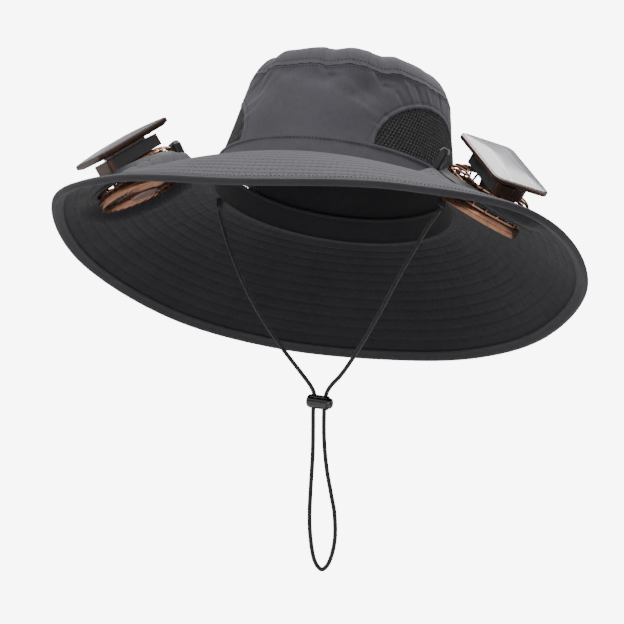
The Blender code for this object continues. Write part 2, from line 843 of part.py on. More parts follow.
def add_blade(made, root):
    """Draw a twisted blade out of a face of the hub, its walls split the same way on both sides."""
    middle = ROTOR_BASE + ROTOR_HEIGHT / 2.0
    centre = root.calc_center_median()
    spoke = math.degrees(math.atan2(centre.y, centre.x))
    offset = {vert: turn_gap(math.degrees(math.atan2(vert.co.y, vert.co.x)), spoke) for vert in root.verts}
    low = sorted((vert for vert in root.verts if vert.co.z < middle), key=offset.get)
    high = sorted((vert for vert in root.verts if vert.co.z > middle), key=offset.get, reverse=True)
    corners = low + high
    made.faces.remove(root)
    rings = [corners]
    for step in range(1, BLADE_STEPS + 1):
        part = step / BLADE_STEPS
        radius = ROTOR_HUB_RADIUS + (ROTOR_RADIUS - ROTOR_HUB_RADIUS) * part
        ring = []
        for vert in corners:
            swing = BLADE_TWIST * (1.0 if vert.co.z > middle else -BLADE_LOW_SWING) * part
            width = offset[vert] * (1.0 - (1.0 - BLADE_TIP_SHARE) * part)
            ring.append(made.verts.new(polar(radius, spoke + swing + width, vert.co.z)))
        rings.append(ring)
    for near, far in zip(rings, rings[1:]):
        for i in range(4):
            j = (i + 1) % 4
            if i == 3:
                made.faces.new((near[i], near[j], far[i]))
                made.faces.new((near[j], far[j], far[i]))
            else:
                made.faces.new((near[i], near[j], far[j]))
                made.faces.new((near[i], far[j], far[i]))
    tip = rings[-1]
    made.faces.new((tip[0], tip[1], tip[2]))
    made.faces.new((tip[0], tip[2], tip[3]))


def make_rotor(fan, look):
    """Hub with blades drawn out of its side, on the fan's axis."""
    sides = ROTOR_BLADES * 2
    made = bmesh.new()
    low = []
    high = []
    bore_low = []
    bore_high = []
    bore = SHAFT_RADIUS + SHAFT_CLEARANCE
    for i in range(sides):
        bearing = 360.0 * i / sides
        low.append(made.verts.new(polar(ROTOR_HUB_RADIUS, bearing, ROTOR_BASE)))
        high.append(made.verts.new(polar(ROTOR_HUB_RADIUS, bearing, ROTOR_BASE + ROTOR_HEIGHT)))
        bore_low.append(made.verts.new(polar(bore, bearing, ROTOR_BASE)))
        bore_high.append(made.verts.new(polar(bore, bearing, ROTOR_BASE + ROTOR_HEIGHT)))
    outer_sides = []
    for i in range(sides):
        j = (i + 1) % sides
        outer_sides.append(made.faces.new((low[i], low[j], high[j], high[i])))
        made.faces.new((bore_low[j], bore_low[i], bore_high[i], bore_high[j]))
        made.faces.new((high[i], high[j], bore_high[j], bore_high[i]))
        made.faces.new((low[j], low[i], bore_low[i], bore_low[j]))
    made.normal_update()
    for root in outer_sides[::2]:
        bmesh.ops.inset_individual(made, faces=[root], thickness=BLADE_ROOT_INSET, use_even_offset=True)
        add_blade(made, root)
    bmesh.ops.recalc_face_normals(made, faces=made.faces)
    mesh = bpy.data.meshes.new("rotor_" + fan.name)
    made.to_mesh(mesh)
    made.free()
    mesh.materials.append(look)
    rotor = bpy.data.objects.new("rotor_" + fan.name, mesh)
    bpy.context.scene.collection.objects.link(rotor)
    rotor.matrix_world = fan.ring
    return rotor


def make_motor(fan, look):
    """Motor under the box, with the shaft that the rotor turns on."""
    rings = []
    rotor_top = ROTOR_BASE + ROTOR_HEIGHT
    for height, radius in (
        (GRILLE_THICKNESS + GAP, SHAFT_RADIUS),
        (rotor_top + 0.0006, SHAFT_RADIUS),
        (rotor_top + 0.0006, MOTOR_RADIUS),
    ):
        rings.append([polar(radius, 360.0 * i / 20, height) for i in range(20)])
    rings.append([head_underside(fan, MOTOR_RADIUS, 360.0 * i / 20, GAP) for i in range(20)])
    return add_body("motor_" + fan.name, rings, look, place=fan.ring)


def make_collar(fan, look):
    """Rubber collar that clips the fan into the hole in the brim."""
    inner = CAGE_RADIUS + COLLAR_CLEARANCE
    tube = inner + COLLAR_WALL
    outer = SEAT_HOLE_RADIUS + COLLAR_FLANGE
    half = BRIM_THICKNESS / 2.0 + GAP
    top = half + COLLAR_FLANGE_WALL
    profile = [
        (inner, -top),
        (outer, -top),
        (outer, -half),
        (tube, -half),
        (tube, half),
        (outer, half),
        (tube, top + COLLAR_LIP),
        (inner, top + COLLAR_LIP),
    ]
    place = fan.ring @ Matrix.Translation((0.0, 0.0, SEAT_HEIGHT))
    return turned("collar_" + fan.name, profile, look, FAN_STEPS, place)


def make_bracket(fan, look):
    """Slotted clip standing on the brim beside the collar."""
    base = SEAT_HEIGHT + BRIM_THICKNESS / 2.0 + GAP
    near = SEAT_HOLE_RADIUS + COLLAR_FLANGE + GAP
    outline = rounded_box(BRACKET_DEPTH / 2.0, BRACKET_WIDTH / 2.0, 0.0012, 3)
    rings = stack([(outline, 0.0), (outline, BRACKET_HEIGHT * 0.82)])
    inner = rounded_box(BRACKET_DEPTH / 2.0 - 0.0012, BRACKET_WIDTH / 2.0 - 0.0012, 0.0010, 3)
    rings += stack([(inner, BRACKET_HEIGHT)])
    turn = Matrix.Rotation(math.radians(fan.side * fan.clip_bearing), 4, "Z")
    place = fan.ring @ turn @ Matrix.Translation((near + BRACKET_DEPTH / 2.0, 0.0, base))
    bracket = add_body("clip_" + fan.name, rings, look, place=place)
    slot = rounded_box(BRACKET_DEPTH, BRACKET_SLOT / 2.0, 0.0008, 2)
    slot_rings = stack([(slot, BRACKET_HEIGHT * 0.35), (slot, BRACKET_HEIGHT * 0.78)])
    boolean(bracket, add_body("clip_slot_" + fan.name, slot_rings, None, place=place))
    return bracket


def make_box(fan, grey, brown):
    """Battery box under the panel: a grey middle between two brown end caps."""
    top = -BOX_BELOW_PANEL
    low = top - BOX_HEIGHT
    middle = BOX_HALF_LENGTH - BOX_CAP_LENGTH
    outline = [(middle, BOX_HALF_DEPTH), (-middle, BOX_HALF_DEPTH),
               (-middle, -BOX_HALF_DEPTH), (middle, -BOX_HALF_DEPTH)]
    add_body("battery_box_" + fan.name, stack([(outline, low), (outline, top)]), grey, place=fan.head)
    for end, side in (("outer", 1.0), ("inner", -1.0)):
        cap = [(middle + GAP, -BOX_HALF_DEPTH)]
        for start, side_y in ((-90.0, -1), (0.0, 1)):
            for i in range(5):
                turn = math.radians(start + 90.0 * i / 4)
                cap.append((
                    BOX_HALF_LENGTH - BOX_CORNER + BOX_CORNER * math.cos(turn),
                    side_y * (BOX_HALF_DEPTH - BOX_CORNER) + BOX_CORNER * math.sin(turn),
                ))
        cap.append((middle + GAP, BOX_HALF_DEPTH))
        outline = [(side * x, y) for x, y in cap]
        add_body("box_cap_%s_%s" % (end, fan.name), stack([(outline, low), (outline, top)]),
                 brown, place=fan.head)


def make_panel(fan, copper, cell):
    """Copper tray on a neck, carrying the crowned solar glass."""
    rim = rounded_box(PANEL_HALF_LENGTH, PANEL_HALF_DEPTH, PANEL_CORNER)
    taper = PANEL_TRAY_DEPTH * 1.1
    under = rounded_box(PANEL_HALF_LENGTH - taper, PANEL_HALF_DEPTH - taper, PANEL_CORNER - 0.002)
    neck = rounded_box(NECK_HALF_LENGTH, NECK_HALF_DEPTH, 0.002)
    top = -PANEL_GLASS_EDGE - GAP
    add_body("panel_tray_" + fan.name, stack([
        (neck, -BOX_BELOW_PANEL + GAP),
        (neck, top - PANEL_TRAY_DEPTH - 0.0002),
        (under, top - PANEL_TRAY_DEPTH),
        (rim, top - PANEL_TRAY_RIM),
        (rim, top),
    ]), copper, place=fan.head)
    rings = []
    for size, rise in ((1.0, -PANEL_GLASS_EDGE), (1.0, 0.0), (0.8, 0.56), (0.4, 1.0)):
        height = rise if rise < 0.0 else rise * PANEL_CROWN
        outline = rounded_box(
            (PANEL_HALF_LENGTH - PANEL_GLASS_INSET) * size,
            (PANEL_HALF_DEPTH - PANEL_GLASS_INSET) * size,
            (PANEL_CORNER - PANEL_GLASS_INSET) * size,
        )
        rings.append([Vector((x, y, height)) for x, y in outline])
    add_body("solar_panel_" + fan.name, rings, cell, place=fan.head)


# Chin cord


def make_anchor(name, bearing, look):
    """Folded tape sewn into the seam between brim and sweatband."""
    rings = []
    radius = foot_radius(bearing) - WALL_INSET - CLOTH_WALL
    top = -BRIM_THICKNESS - GAP * 2.0
    for height, share in ((0.0, 1.0), (-0.7, 1.0), (-1.0, 0.72)):
        outline = rounded_box(ANCHOR_THICKNESS / 2.0 * share, ANCHOR_WIDTH / 2.0 * share, 0.0008, 3)
        rings.append([Vector((x, y, top + ANCHOR_HEIGHT * height)) for x, y in outline])
    turn = Matrix.Rotation(math.radians(bearing), 4, "Z")
    place = Matrix.Translation(polar(radius, bearing, 0.0)) @ turn
    return add_body(name, rings, look, place=place)


def curve_point(route, place):
    """Point on a smooth curve through the route's own points."""
    i = min(int(place), len(route) - 2)
    part = place - i
    a, b, c, d = (Vector(route[min(max(i + k, 0), len(route) - 1)]) for k in (-1, 0, 1, 2))
    curve = 2.0 * b + (c - a) * part + (2.0 * a - 5.0 * b + 4.0 * c - d) * part ** 2
    return 0.5 * (curve + (3.0 * b - a - 3.0 * c + d) * part ** 3)


def make_cord(look):
    data = bpy.data.curves.new("chin_cord", "CURVE")
    data.dimensions = "3D"
    data.bevel_depth = CORD_DIAMETER / 2.0
    data.bevel_resolution = 2
    data.use_fill_caps = True
    line = data.splines.new("POLY")
    line.points.add(CORD_POINTS - 1)
    for i, point in enumerate(line.points):
        place = curve_point(CORD_ROUTE, (len(CORD_ROUTE) - 1) * i / (CORD_POINTS - 1))
        point.co = (*place, 1.0)
    data.materials.append(look)
    cord = bpy.data.objects.new("chin_cord", data)
    bpy.context.scene.collection.objects.link(cord)
    return cord


def lock_matrix():
    """Lock's axes: X along the barrel towards the plunger, Z up the cord."""
    tilt = Matrix.Rotation(math.radians(-LOCK_TILT), 4, "Y")
    lean = Matrix.Rotation(math.radians(-LOCK_LEAN), 4, "X")
    return Matrix.Translation(LOCK_CENTRE) @ tilt @ lean


def make_lock(look):
    """Barrel with two cord holes and a sprung plunger in its end."""
    place = lock_matrix()
    upright = Matrix.Rotation(math.radians(90.0), 4, "Y")
    bore = PLUNGER_RADIUS + GAP
    floor = PLUNGER_START - PLUNGER_TRAVEL - GAP
    steps = LOCK_STEPS
    outer = (
        (-LOCK_HALF_LENGTH, LOCK_RADIUS * 0.55),
        (-LOCK_HALF_LENGTH + 0.0007, LOCK_RADIUS * 0.80),
        (-LOCK_HALF_LENGTH + 0.0022, LOCK_RADIUS * 0.97),
        (-LOCK_HALF_LENGTH * 0.5, LOCK_RADIUS),
        (LOCK_BARREL_END - 0.0010, LOCK_RADIUS),
        (LOCK_BARREL_END, LOCK_RADIUS * 0.93),
        (LOCK_BARREL_END, bore),
        (floor, bore),
    )
    rings = [[polar(radius, 360.0 * i / steps, along) for i in range(steps)] for along, radius in outer]
    barrel = add_body("lock_barrel", rings, look, place=place @ upright)
    half = LOCK_HOLE_SPACING / 2.0
    holes = []
    for x in (LOCK_HOLE_OFFSET - half, LOCK_HOLE_OFFSET + half):
        outline = round_section(LOCK_HOLE_RADIUS, 12, (x, 0.0))
        reach = LOCK_RADIUS * 1.3
        holes.append(add_body("hole", stack([(outline, -reach), (outline, reach)]), None, place=place))
    boolean(barrel, joined("lock_barrel_holes", holes))

    body = (
        (PLUNGER_START, PLUNGER_RADIUS),
        (LOCK_HALF_LENGTH - 0.0014, PLUNGER_RADIUS),
        (LOCK_HALF_LENGTH - 0.0005, PLUNGER_RADIUS * 0.86),
        (LOCK_HALF_LENGTH, PLUNGER_RADIUS * 0.60),
    )
    rings = [[polar(radius, 360.0 * i / steps, along) for i in range(steps)] for along, radius in body]
    plunger = add_body("lock_plunger", rings, look, place=place @ upright)
    start = PLUNGER_START + PLUNGER_WEB
    end = LOCK_HOLE_OFFSET + half + PLUNGER_TRAVEL + LOCK_HOLE_RADIUS
    middle = (start + end) / 2.0
    slot = [(middle + x, y) for x, y in
            rounded_box((end - start) / 2.0, LOCK_HOLE_RADIUS, LOCK_HOLE_RADIUS * 0.8, 4)]
    tool = add_body("lock_plunger_slot", stack([(slot, -LOCK_RADIUS), (slot, LOCK_RADIUS)]),
                    None, place=place)
    boolean(plunger, tool)


def build():
    clear_scene()
    cloth = material("cloth_grey", CLOTH_GREY, 0.85)
    make_crown = make_crown_side(cloth)
    mesh_black = material("vent_mesh", MESH_BLACK, 0.9)
    for name, side in (("left", 1), ("right", -1)):
        boolean(make_crown, vent_block("vent_opening_" + name, side, CLOTH_WALL + 0.004, 0.004, 0.0))
        net = vent_block("vent_mesh_" + name, side, CLOTH_WALL * 0.75, -CLOTH_WALL * 0.25, GAP)
        net.data.materials.append(mesh_black)
    make_crown_tip(material("tip_grey", CLOTH_GREY, 0.85))
    make_band("hatband", material("band_grey", CLOTH_GREY, 0.85), GAP, BAND_HEIGHT, 0.0, BAND_WALL)
    make_band("sweatband", material("sweatband_charcoal", UNDERSIDE_CHARCOAL, 0.8),
              -BRIM_THICKNESS, SWEATBAND_HEIGHT, LINER_INSET, SWEATBAND_WALL, SWEATBAND_ROLL)
    brim = make_brim(material("brim_cloth", UNDERSIDE_CHARCOAL, 0.85))
    make_binding(material("binding_grey", CLOTH_GREY, 0.8))

    copper = material("copper", COPPER, 0.32, 0.9)
    rose = material("cap_rose", CAP_ROSE, 0.45, 0.5)
    black = material("moulded_black", MESH_BLACK, 0.5)
    rubber = material("collar_black", UNDERSIDE_CHARCOAL, 0.7)
    grey = material("box_grey", BOX_GREY, 0.45)
    brown = material("box_brown", BOX_BROWN, 0.35, 0.3)
    cell = material("solar_cell", CELL_GREY, 0.25, 0.2)
    rotor_look = material("rotor_grey", CELL_GREY, 0.4)
    for fan in FANS:
        reach = 0.02
        hole = round_section(SEAT_HOLE_RADIUS, FAN_STEPS)
        cutter = stack([(hole, SEAT_HEIGHT - reach), (hole, SEAT_HEIGHT + reach)])
        boolean(brim, add_body("brim_hole_" + fan.name, cutter, None, place=fan.ring))
        make_ring(fan, copper)
        make_hub_cap(fan, rose)
        make_cage(fan, copper)
        make_liner(fan, black)
        make_rotor(fan, rotor_look)
        make_motor(fan, black)
        make_collar(fan, rubber)
        make_bracket(fan, black)
        make_box(fan, grey, brown)
        make_panel(fan, brown, cell)

    tape = material("anchor_tape", UNDERSIDE_CHARCOAL, 0.8)
    make_anchor("cord_anchor_left", LEFT_ANCHOR_BEARING, tape)
    make_anchor("cord_anchor_right", RIGHT_ANCHOR_BEARING, tape)
    make_cord(material("cord_black", CORD_BLACK, 0.7))
    make_lock(material("lock_black", GLOSS_BLACK, 0.2))


build()
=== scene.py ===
"""Looks of the solar fan hat: cloth, mesh vents, solar fans, chin cord and studio.

Metres, +Z up. The wearer faces -Y and the wearer's left is +X.
"""

import math

import bmesh
import bpy
import numpy as np
from mathutils import Matrix, Vector


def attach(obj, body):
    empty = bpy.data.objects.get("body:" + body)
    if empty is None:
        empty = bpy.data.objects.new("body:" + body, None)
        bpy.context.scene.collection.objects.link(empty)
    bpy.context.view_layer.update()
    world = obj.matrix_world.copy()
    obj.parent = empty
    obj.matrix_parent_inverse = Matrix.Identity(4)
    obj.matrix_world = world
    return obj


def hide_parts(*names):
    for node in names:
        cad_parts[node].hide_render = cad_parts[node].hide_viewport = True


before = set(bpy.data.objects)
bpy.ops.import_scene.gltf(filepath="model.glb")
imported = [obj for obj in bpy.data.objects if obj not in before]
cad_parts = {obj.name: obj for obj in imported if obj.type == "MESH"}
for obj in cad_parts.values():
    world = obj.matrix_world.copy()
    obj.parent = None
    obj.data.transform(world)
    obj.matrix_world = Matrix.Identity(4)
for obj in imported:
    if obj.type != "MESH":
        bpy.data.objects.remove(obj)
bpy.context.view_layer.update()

# Camera
CAMERA_PLACE = (0.4391, -1.3716, -0.4270)
CAMERA_RIGHT = (0.9528, 0.2801, 0.1172)
CAMERA_UP = (-0.0432, -0.2570, 0.9655)
CAMERA_BACK = (0.3005, -0.9249, -0.2327)
CAMERA_LENS = 122.76

# Hat sizes, as the solids have them
GAP = 0.0003
CROWN_HALF_WIDTH = 0.088
CROWN_HALF_LENGTH = 0.1044
SIDE_HEIGHT = 0.075
TIP_RISE = 0.0208
TIP_TILT = 0.0028
CROWN_LEAN_X = 0.0023
CROWN_LEAN_Y = 0.0013
CLOTH_WALL = 0.0015
BAND_WALL = 0.0013
WALL_INSET = BAND_WALL + GAP
LINER_INSET = WALL_INSET + CLOTH_WALL + GAP
BAND_HEIGHT = 0.0147
SWEATBAND_WALL = 0.0014
SWEATBAND_HEIGHT = 0.0155
SWEATBAND_ROLL = 0.0026
BRIM_WIDTH = 0.110
BRIM_THICKNESS = 0.0020
BRIM_CURVE = 1.35
BINDING_WIDTH = 0.0080
BINDING_WALL = 0.0010
VENT_BEARING = -18.0
VENT_HALF_SPAN = 41.0
VENT_RISE = 0.0435
SEAT_BEARING = -28.7
SEAT_SHARE = 0.471

# Fan sizes, as the solids have them
RING_RADIUS = 0.0317
RING_WALL = 0.0016
RING_HEIGHT = 0.0064
GRILLE_THICKNESS = 0.0014
HUB_CAP_RADIUS = 0.0100
HUB_CAP_THICKNESS = 0.0012
SEAT_HEIGHT = 0.0120
CAGE_RADIUS = 0.0298
CAGE_WALL = 0.0013
CAGE_SHOULDER_SHARE = 0.80
CAGE_TOP_RADIUS = CAGE_RADIUS * 0.62
COLLAR_CLEARANCE = 0.0005
COLLAR_WALL = 0.0013
COLLAR_FLANGE = 0.0024
COLLAR_FLANGE_WALL = 0.0012
COLLAR_LIP = 0.0026
LINER_WALL = 0.0011
LINER_CLEARANCE = 0.0008
LINER_RADIUS = CAGE_RADIUS - CAGE_WALL - LINER_CLEARANCE
LINER_BELOW_SEAT = 0.0022
LINER_ABOVE_SEAT = 0.0010
ROTOR_CLEARANCE = 0.0009
ROTOR_RADIUS = LINER_RADIUS - LINER_WALL - ROTOR_CLEARANCE
ROTOR_HUB_RADIUS = 0.0085
ROTOR_BASE = 0.0030
ROTOR_HEIGHT = 0.0085
SEAT_HOLE_RADIUS = CAGE_RADIUS + COLLAR_CLEARANCE + COLLAR_WALL + GAP
HEAD_PITCH = 10.8
HEAD_ROLL = 9.2
HEAD_HEIGHT = 0.0401
BOX_HEIGHT = 0.0085
BOX_BELOW_PANEL = 0.0070
PANEL_HALF_LENGTH = 0.0310
PANEL_HALF_DEPTH = 0.0224
PANEL_CORNER = 0.0062
PANEL_TRAY_RIM = 0.0016
PANEL_TRAY_DEPTH = 0.0032
PANEL_GLASS_INSET = 0.0012
PANEL_GLASS_EDGE = 0.0012
PANEL_CROWN = 0.0022
NECK_HALF_LENGTH = 0.0150
NECK_HALF_DEPTH = 0.0080

# Flat seat round each fan's hole, tighter here than in the solids
SEAT_FLAT_MARGIN = 0.0045
SEAT_BLEND = 0.0130
SEAT_FLAT_RADIUS = SEAT_HOLE_RADIUS + SEAT_FLAT_MARGIN

# Chin cord and its lock, as the solids have them
CORD_DIAMETER = 0.0030
LOCK_CENTRE = (0.0015, 0.0164, -0.1421)
LOCK_TILT = -5.0
LOCK_LEAN = -6.6
LOCK_HALF_LENGTH = 0.0095
LOCK_BARREL_END = 0.0066
LOCK_RADIUS = 0.0049
LOCK_HOLE_RADIUS = 0.0021
LOCK_HOLE_SPACING = 0.0080
LOCK_HOLE_OFFSET = -0.0003
PLUNGER_RADIUS = 0.0038
PLUNGER_START = 0.0004
PLUNGER_TRAVEL = 0.0016
PLUNGER_WEB = 0.0014

# Ribs, spokes, posts and screws
RIB_TWIST = 16.0
RIB_RADIUS = 0.00062
CAGE_HOOP_RADIUS = 0.00055
CAGE_TOP_RING_RADIUS = 0.0008
SPOKE_LEAN = 62.0
SPOKE_RADIUS = 0.00048
GRILLE_HOOP_RADIUS = 0.00036
POST_RADIUS = 0.00085
POST_TOP_INSET = 0.0036
SCREW_X = 0.0155
SCREW_Y = 0.0135
SCREW_RADIUS = 0.0009
SCREW_CORNER = 0.0008

# Rotor blades
BLADE_COUNT = 7
BLADE_SWING = 16.0
BLADE_ROOT_PITCH = 52.0
BLADE_UNTWIST = 22.0
BLADE_SECTION = (
    (-1.0, 0.0),
    (-0.4, 0.00045),
    (0.5, 0.00040),
    (1.0, 0.0),
    (0.5, -0.00030),
    (-0.4, -0.00030),
)

# Sewing
QUILT_PITCH = 0.0088
QUILT_GROOVE = 0.00035
QUILT_GROOVE_WIDTH = 0.0010
QUILT_PUFF = 0.00020
STITCH_LENGTH = 0.0017
STITCH_PITCH = 0.0026
STITCH_RADIUS = 0.00022
STITCH_MARKS = (0.0, 0.25, 0.75, 1.0)
STITCH_LIFTS = (-1.4, 0.7, 0.7, -1.4)
TAPE_STITCH_INSET = 0.0068
BAND_STITCH_DROP = 0.0022
VENT_STITCH_OUT = 0.0050
NET_PITCH = 0.0030
NET_STRAND = 0.00145
VENT_MEAN_RADIUS = 0.093
NET_TUCK = 0.004
NET_OVERLAP = 0.003
BRIM_STITCH_ROWS = 12
BRIM_STITCH_PITCH = 0.0040
BRIM_STITCH_LENGTH = 0.0027
WALL_SLOPE = 0.15
BAND_SLOPE = 0.12

# Crown seam, vent borders and the band's hem
TIP_EDGE_REACH = 0.0002
TIP_EDGE_TAPER = 0.05
WALL_RADIUS_MM = 92.0
TIP_PUCKER = 0.00022
TIP_STITCH_SIZE = 0.976
VENT_BORDER = 0.0014
HEM_DEPTH = 0.0034
HEM_LIFT = 0.0005

# Fineness
ROUND_STEPS = 432
FAN_STEPS = 96
CAGE_RIBS = 20
GRILLE_RIBS = 30
BRIM_ROW_COUNT = 104
BRIM_UV_LENGTH = 0.78
CROWN_OUTER_ROWS = 84
CROWN_INNER_ROWS = 40
TIP_ROW_COUNT = 60
CORD_STEPS = 720
CORD_SIDES = 14

CROWN_ROWS = (
    (0.00, 1.000, 1.000),
    (0.20, 0.954, 0.945),
    (0.45, 0.910, 0.891),
    (0.70, 0.873, 0.843),
    (0.88, 0.848, 0.810),
    (1.00, 0.8275, 0.785),
)

TIP_ROWS = (
    (0.00, 1.00),
    (0.16, 1.00),
    (0.45, 0.96),
    (0.75, 0.78),
    (0.92, 0.49),
    (1.00, 0.00),
)

# Bearing, share of the height, depth as a share of the foot's width,
# spread in degrees, spread as a share of the height
SIDE_FOLDS = (
    (-123.0, 0.80, -0.026, 9.0, 0.13),
    (-104.0, 0.93, -0.016, 8.0, 0.08),
    (-86.0, 0.86, -0.024, 11.0, 0.10),
    (-66.0, 0.74, -0.030, 7.0, 0.14),
    (-52.0, 0.90, -0.020, 9.0, 0.09),
    (-75.0, 0.55, 0.012, 10.0, 0.18),
    (-112.0, 0.50, 0.010, 11.0, 0.20),
    (62.0, 0.80, -0.022, 12.0, 0.13),
    (96.0, 0.70, -0.020, 10.0, 0.16),
    (128.0, 0.84, -0.024, 11.0, 0.12),
    (160.0, 0.90, 0.012, 12.0, 0.10),
)

TIP_DENTS = (
    (-0.36, -0.38, -0.030, 0.26),
    (0.34, -0.22, -0.026, 0.24),
    (0.02, 0.40, -0.022, 0.34),
    (-0.05, -0.06, 0.012, 0.22),
)

RIM_ROWS = (
    (-90.0, 0.874, 0.470),
    (-60.0, 0.886, 0.390),
    (-30.0, 0.947, 0.344),
    (0.0, 0.876, 0.484),
    (30.0, 0.685, 0.635),
    (60.0, 0.578, 0.681),
    (90.0, 0.574, 0.672),
)
RIM_ROW_STEP = 30.0

# Name, side, rise of the seat, tilt of the axis, its heading, spin of the box
FAN_ROWS = (
    ("left", 1, -0.0024, 32.2, 66.7, 12.9),
    ("right", -1, 0.0060, 32.4, 60.9, 15.8),
)

# Creases pressed into the crown's side: from (bearing, share of height) to
# (bearing, share of height), then depth and width in millimetres
CREASES = (
    (-124.0, 0.98, -132.0, 0.80, -1.0, 2.4),
    (-118.0, 0.96, -127.0, 0.74, 0.7, 2.0),
    (-131.0, 0.86, -139.0, 0.74, -0.7, 1.8),
    (-112.0, 0.90, -124.0, 0.60, 0.6, 3.0),
    (-128.0, 0.62, -118.0, 0.70, 0.6, 1.6),
    (-128.0, 0.52, -119.0, 0.60, -0.6, 1.5),
    (-128.0, 0.44, -120.0, 0.51, 0.6, 1.5),
    (-127.0, 0.35, -120.0, 0.42, -0.5, 1.4),
    (-127.0, 0.27, -121.0, 0.32, 0.5, 1.3),
    (-88.0, 1.00, -83.0, 0.90, -1.5, 2.4),
    (-84.0, 0.93, -77.0, 0.90, 0.8, 2.0),
    (-62.0, 1.00, -56.0, 0.88, -1.6, 2.6),
    (-56.0, 0.90, -49.0, 0.88, 0.9, 2.2),
    (-78.0, 0.84, -58.0, 0.60, 0.9, 4.5),
    (-70.0, 0.62, -52.0, 0.42, 0.5, 3.0),
    (-48.0, 0.80, -42.0, 0.64, -0.9, 2.0),
    (-43.0, 0.92, -36.0, 0.70, 0.9, 2.0),
    (-36.0, 0.93, -30.0, 0.72, -0.9, 1.9),
    (-28.0, 0.96, -22.0, 0.76, 0.8, 1.9),
    (-54.0, 0.54, -49.0, 0.46, -0.5, 1.6),
    (-59.0, 0.40, -54.0, 0.34, 0.5, 1.6),
    (-14.0, 0.96, -12.0, 0.78, -0.8, 1.9),
    (0.0, 0.96, -2.0, 0.76, 0.8, 2.0),
    (14.0, 0.80, 8.0, 0.62, -0.7, 2.0),
    (40.0, 0.98, 34.0, 0.76, -1.0, 2.4),
    (70.0, 0.98, 78.0, 0.70, 0.9, 3.0),
    (104.0, 0.98, 98.0, 0.66, -1.0, 3.0),
    (136.0, 0.96, 146.0, 0.62, 0.9, 2.8),
    (168.0, 0.94, 176.0, 0.78, -0.8, 2.2),
)

# Dips of the seam round the crown's tip: bearing, depth in millimetres, spread in degrees
SEAM_DIPS = (
    (-126.0, 1.4, 4.0),
    (-116.0, -1.0, 4.5),
    (-84.0, 1.7, 4.5),
    (-73.0, -0.8, 5.0),
    (-57.0, 1.9, 4.5),
    (-47.0, -0.8, 4.0),
    (-20.0, 0.8, 6.0),
    (30.0, 1.0, 8.0),
    (75.0, -0.9, 9.0),
    (110.0, 1.2, 8.0),
    (150.0, -0.8, 8.0),
)

CORD_ROUTE = (
    (-0.0850, -0.0006, -0.0100),
    (-0.0829, 0.0015, -0.0180),
    (-0.0716, 0.0045, -0.0436),
    (-0.0581, 0.0078, -0.0680),
    (-0.0437, 0.0102, -0.0886),
    (-0.0285, 0.0123, -0.1066),
    (-0.0150, 0.0139, -0.1211),
    (-0.0062, 0.0150, -0.1308),
    (-0.0028, 0.0158, -0.1368),
    (-0.0026, 0.0164, -0.1418),
    (-0.0026, 0.0171, -0.1480),
    (-0.0014, 0.0186, -0.1619),
    (-0.0002, 0.0205, -0.1784),
    (0.0003, 0.0227, -0.1977),
    (0.0010, 0.0250, -0.2171),
    (0.0025, 0.0266, -0.2314),
    (0.0056, 0.0282, -0.2455),
    (0.0089, 0.0291, -0.2531),
    (0.0133, 0.0295, -0.2565),
    (0.0172, 0.0291, -0.2530),
    (0.0199, 0.0281, -0.2445),
    (0.0208, 0.0268, -0.2329),
    (0.0190, 0.0250, -0.2177),
    (0.0154, 0.0235, -0.2045),
    (0.0107, 0.0216, -0.1874),
    (0.0072, 0.0194, -0.1683),
    (0.0054, 0.0172, -0.1488),
    (0.0054, 0.0164, -0.1425),
    (0.0060, 0.0156, -0.1360),
    (0.0092, 0.0146, -0.1300),
    (0.0156, 0.0132, -0.1227),
    (0.0247, 0.0099, -0.1093),
    (0.0393, 0.0027, -0.0844),
    (0.0548, -0.0058, -0.0551),
    (0.0714, -0.0142, -0.0261),
    (0.0790, -0.0179, -0.0150),
    (0.0826, -0.0197, -0.0104),
)

# Colours
CLOTH_GREY = (0.055, 0.054, 0.064)
CLOTH_LIGHT = (0.078, 0.076, 0.089)
TAPE_GREY = (0.034, 0.033, 0.037)
TAPE_LIGHT = (0.048, 0.047, 0.052)
UNDERSIDE = (0.0145, 0.0140, 0.0165)
UNDERSIDE_LIGHT = (0.024, 0.023, 0.027)
NET_GREY = (0.045, 0.046, 0.046)
CORD_BLACK = (0.010, 0.010, 0.010)
COPPER = (0.42, 0.215, 0.14)
COPPER_DARK = (0.30, 0.145, 0.09)
CAP_ROSE = (0.30, 0.20, 0.175)
BOX_GREY = (0.055, 0.055, 0.060)
BOX_BROWN = (0.095, 0.055, 0.042)
MOULDED_BLACK = (0.009, 0.009, 0.010)
CELL_GREY = (0.20, 0.20, 0.23)
ROTOR_GREY = (0.05, 0.05, 0.055)

# Pattern of the braid and the solar cells
BRAID_PITCH = 0.0009
BRAID_TURN = 40.0
CELL_LINE_PITCH = 0.0021
CELL_LINE_TURN = 58.0
BUS_BAR_OFFSET = 0.0095
BUS_BAR_HALF_WIDTH = 0.00032

# Studio strengths, floor and lights: name, place, size, power
BACKDROP_STRENGTH = 8.0
FILL_STRENGTH = 0.34
STRIP_DARK = 0.02
STRIP_BRIGHT = 1.15
FLOOR_HEIGHT = -0.62
FLOOR_REACH = 40.0
LIGHTS = (
    ("key", (-0.5, -0.9, 1.7), 1.3, 30.0),
    ("top", (0.3, 0.5, 1.8), 1.5, 40.0),
    ("front", (0.5, -2.0, -0.2), 1.4, 9.0),
)


# Studio


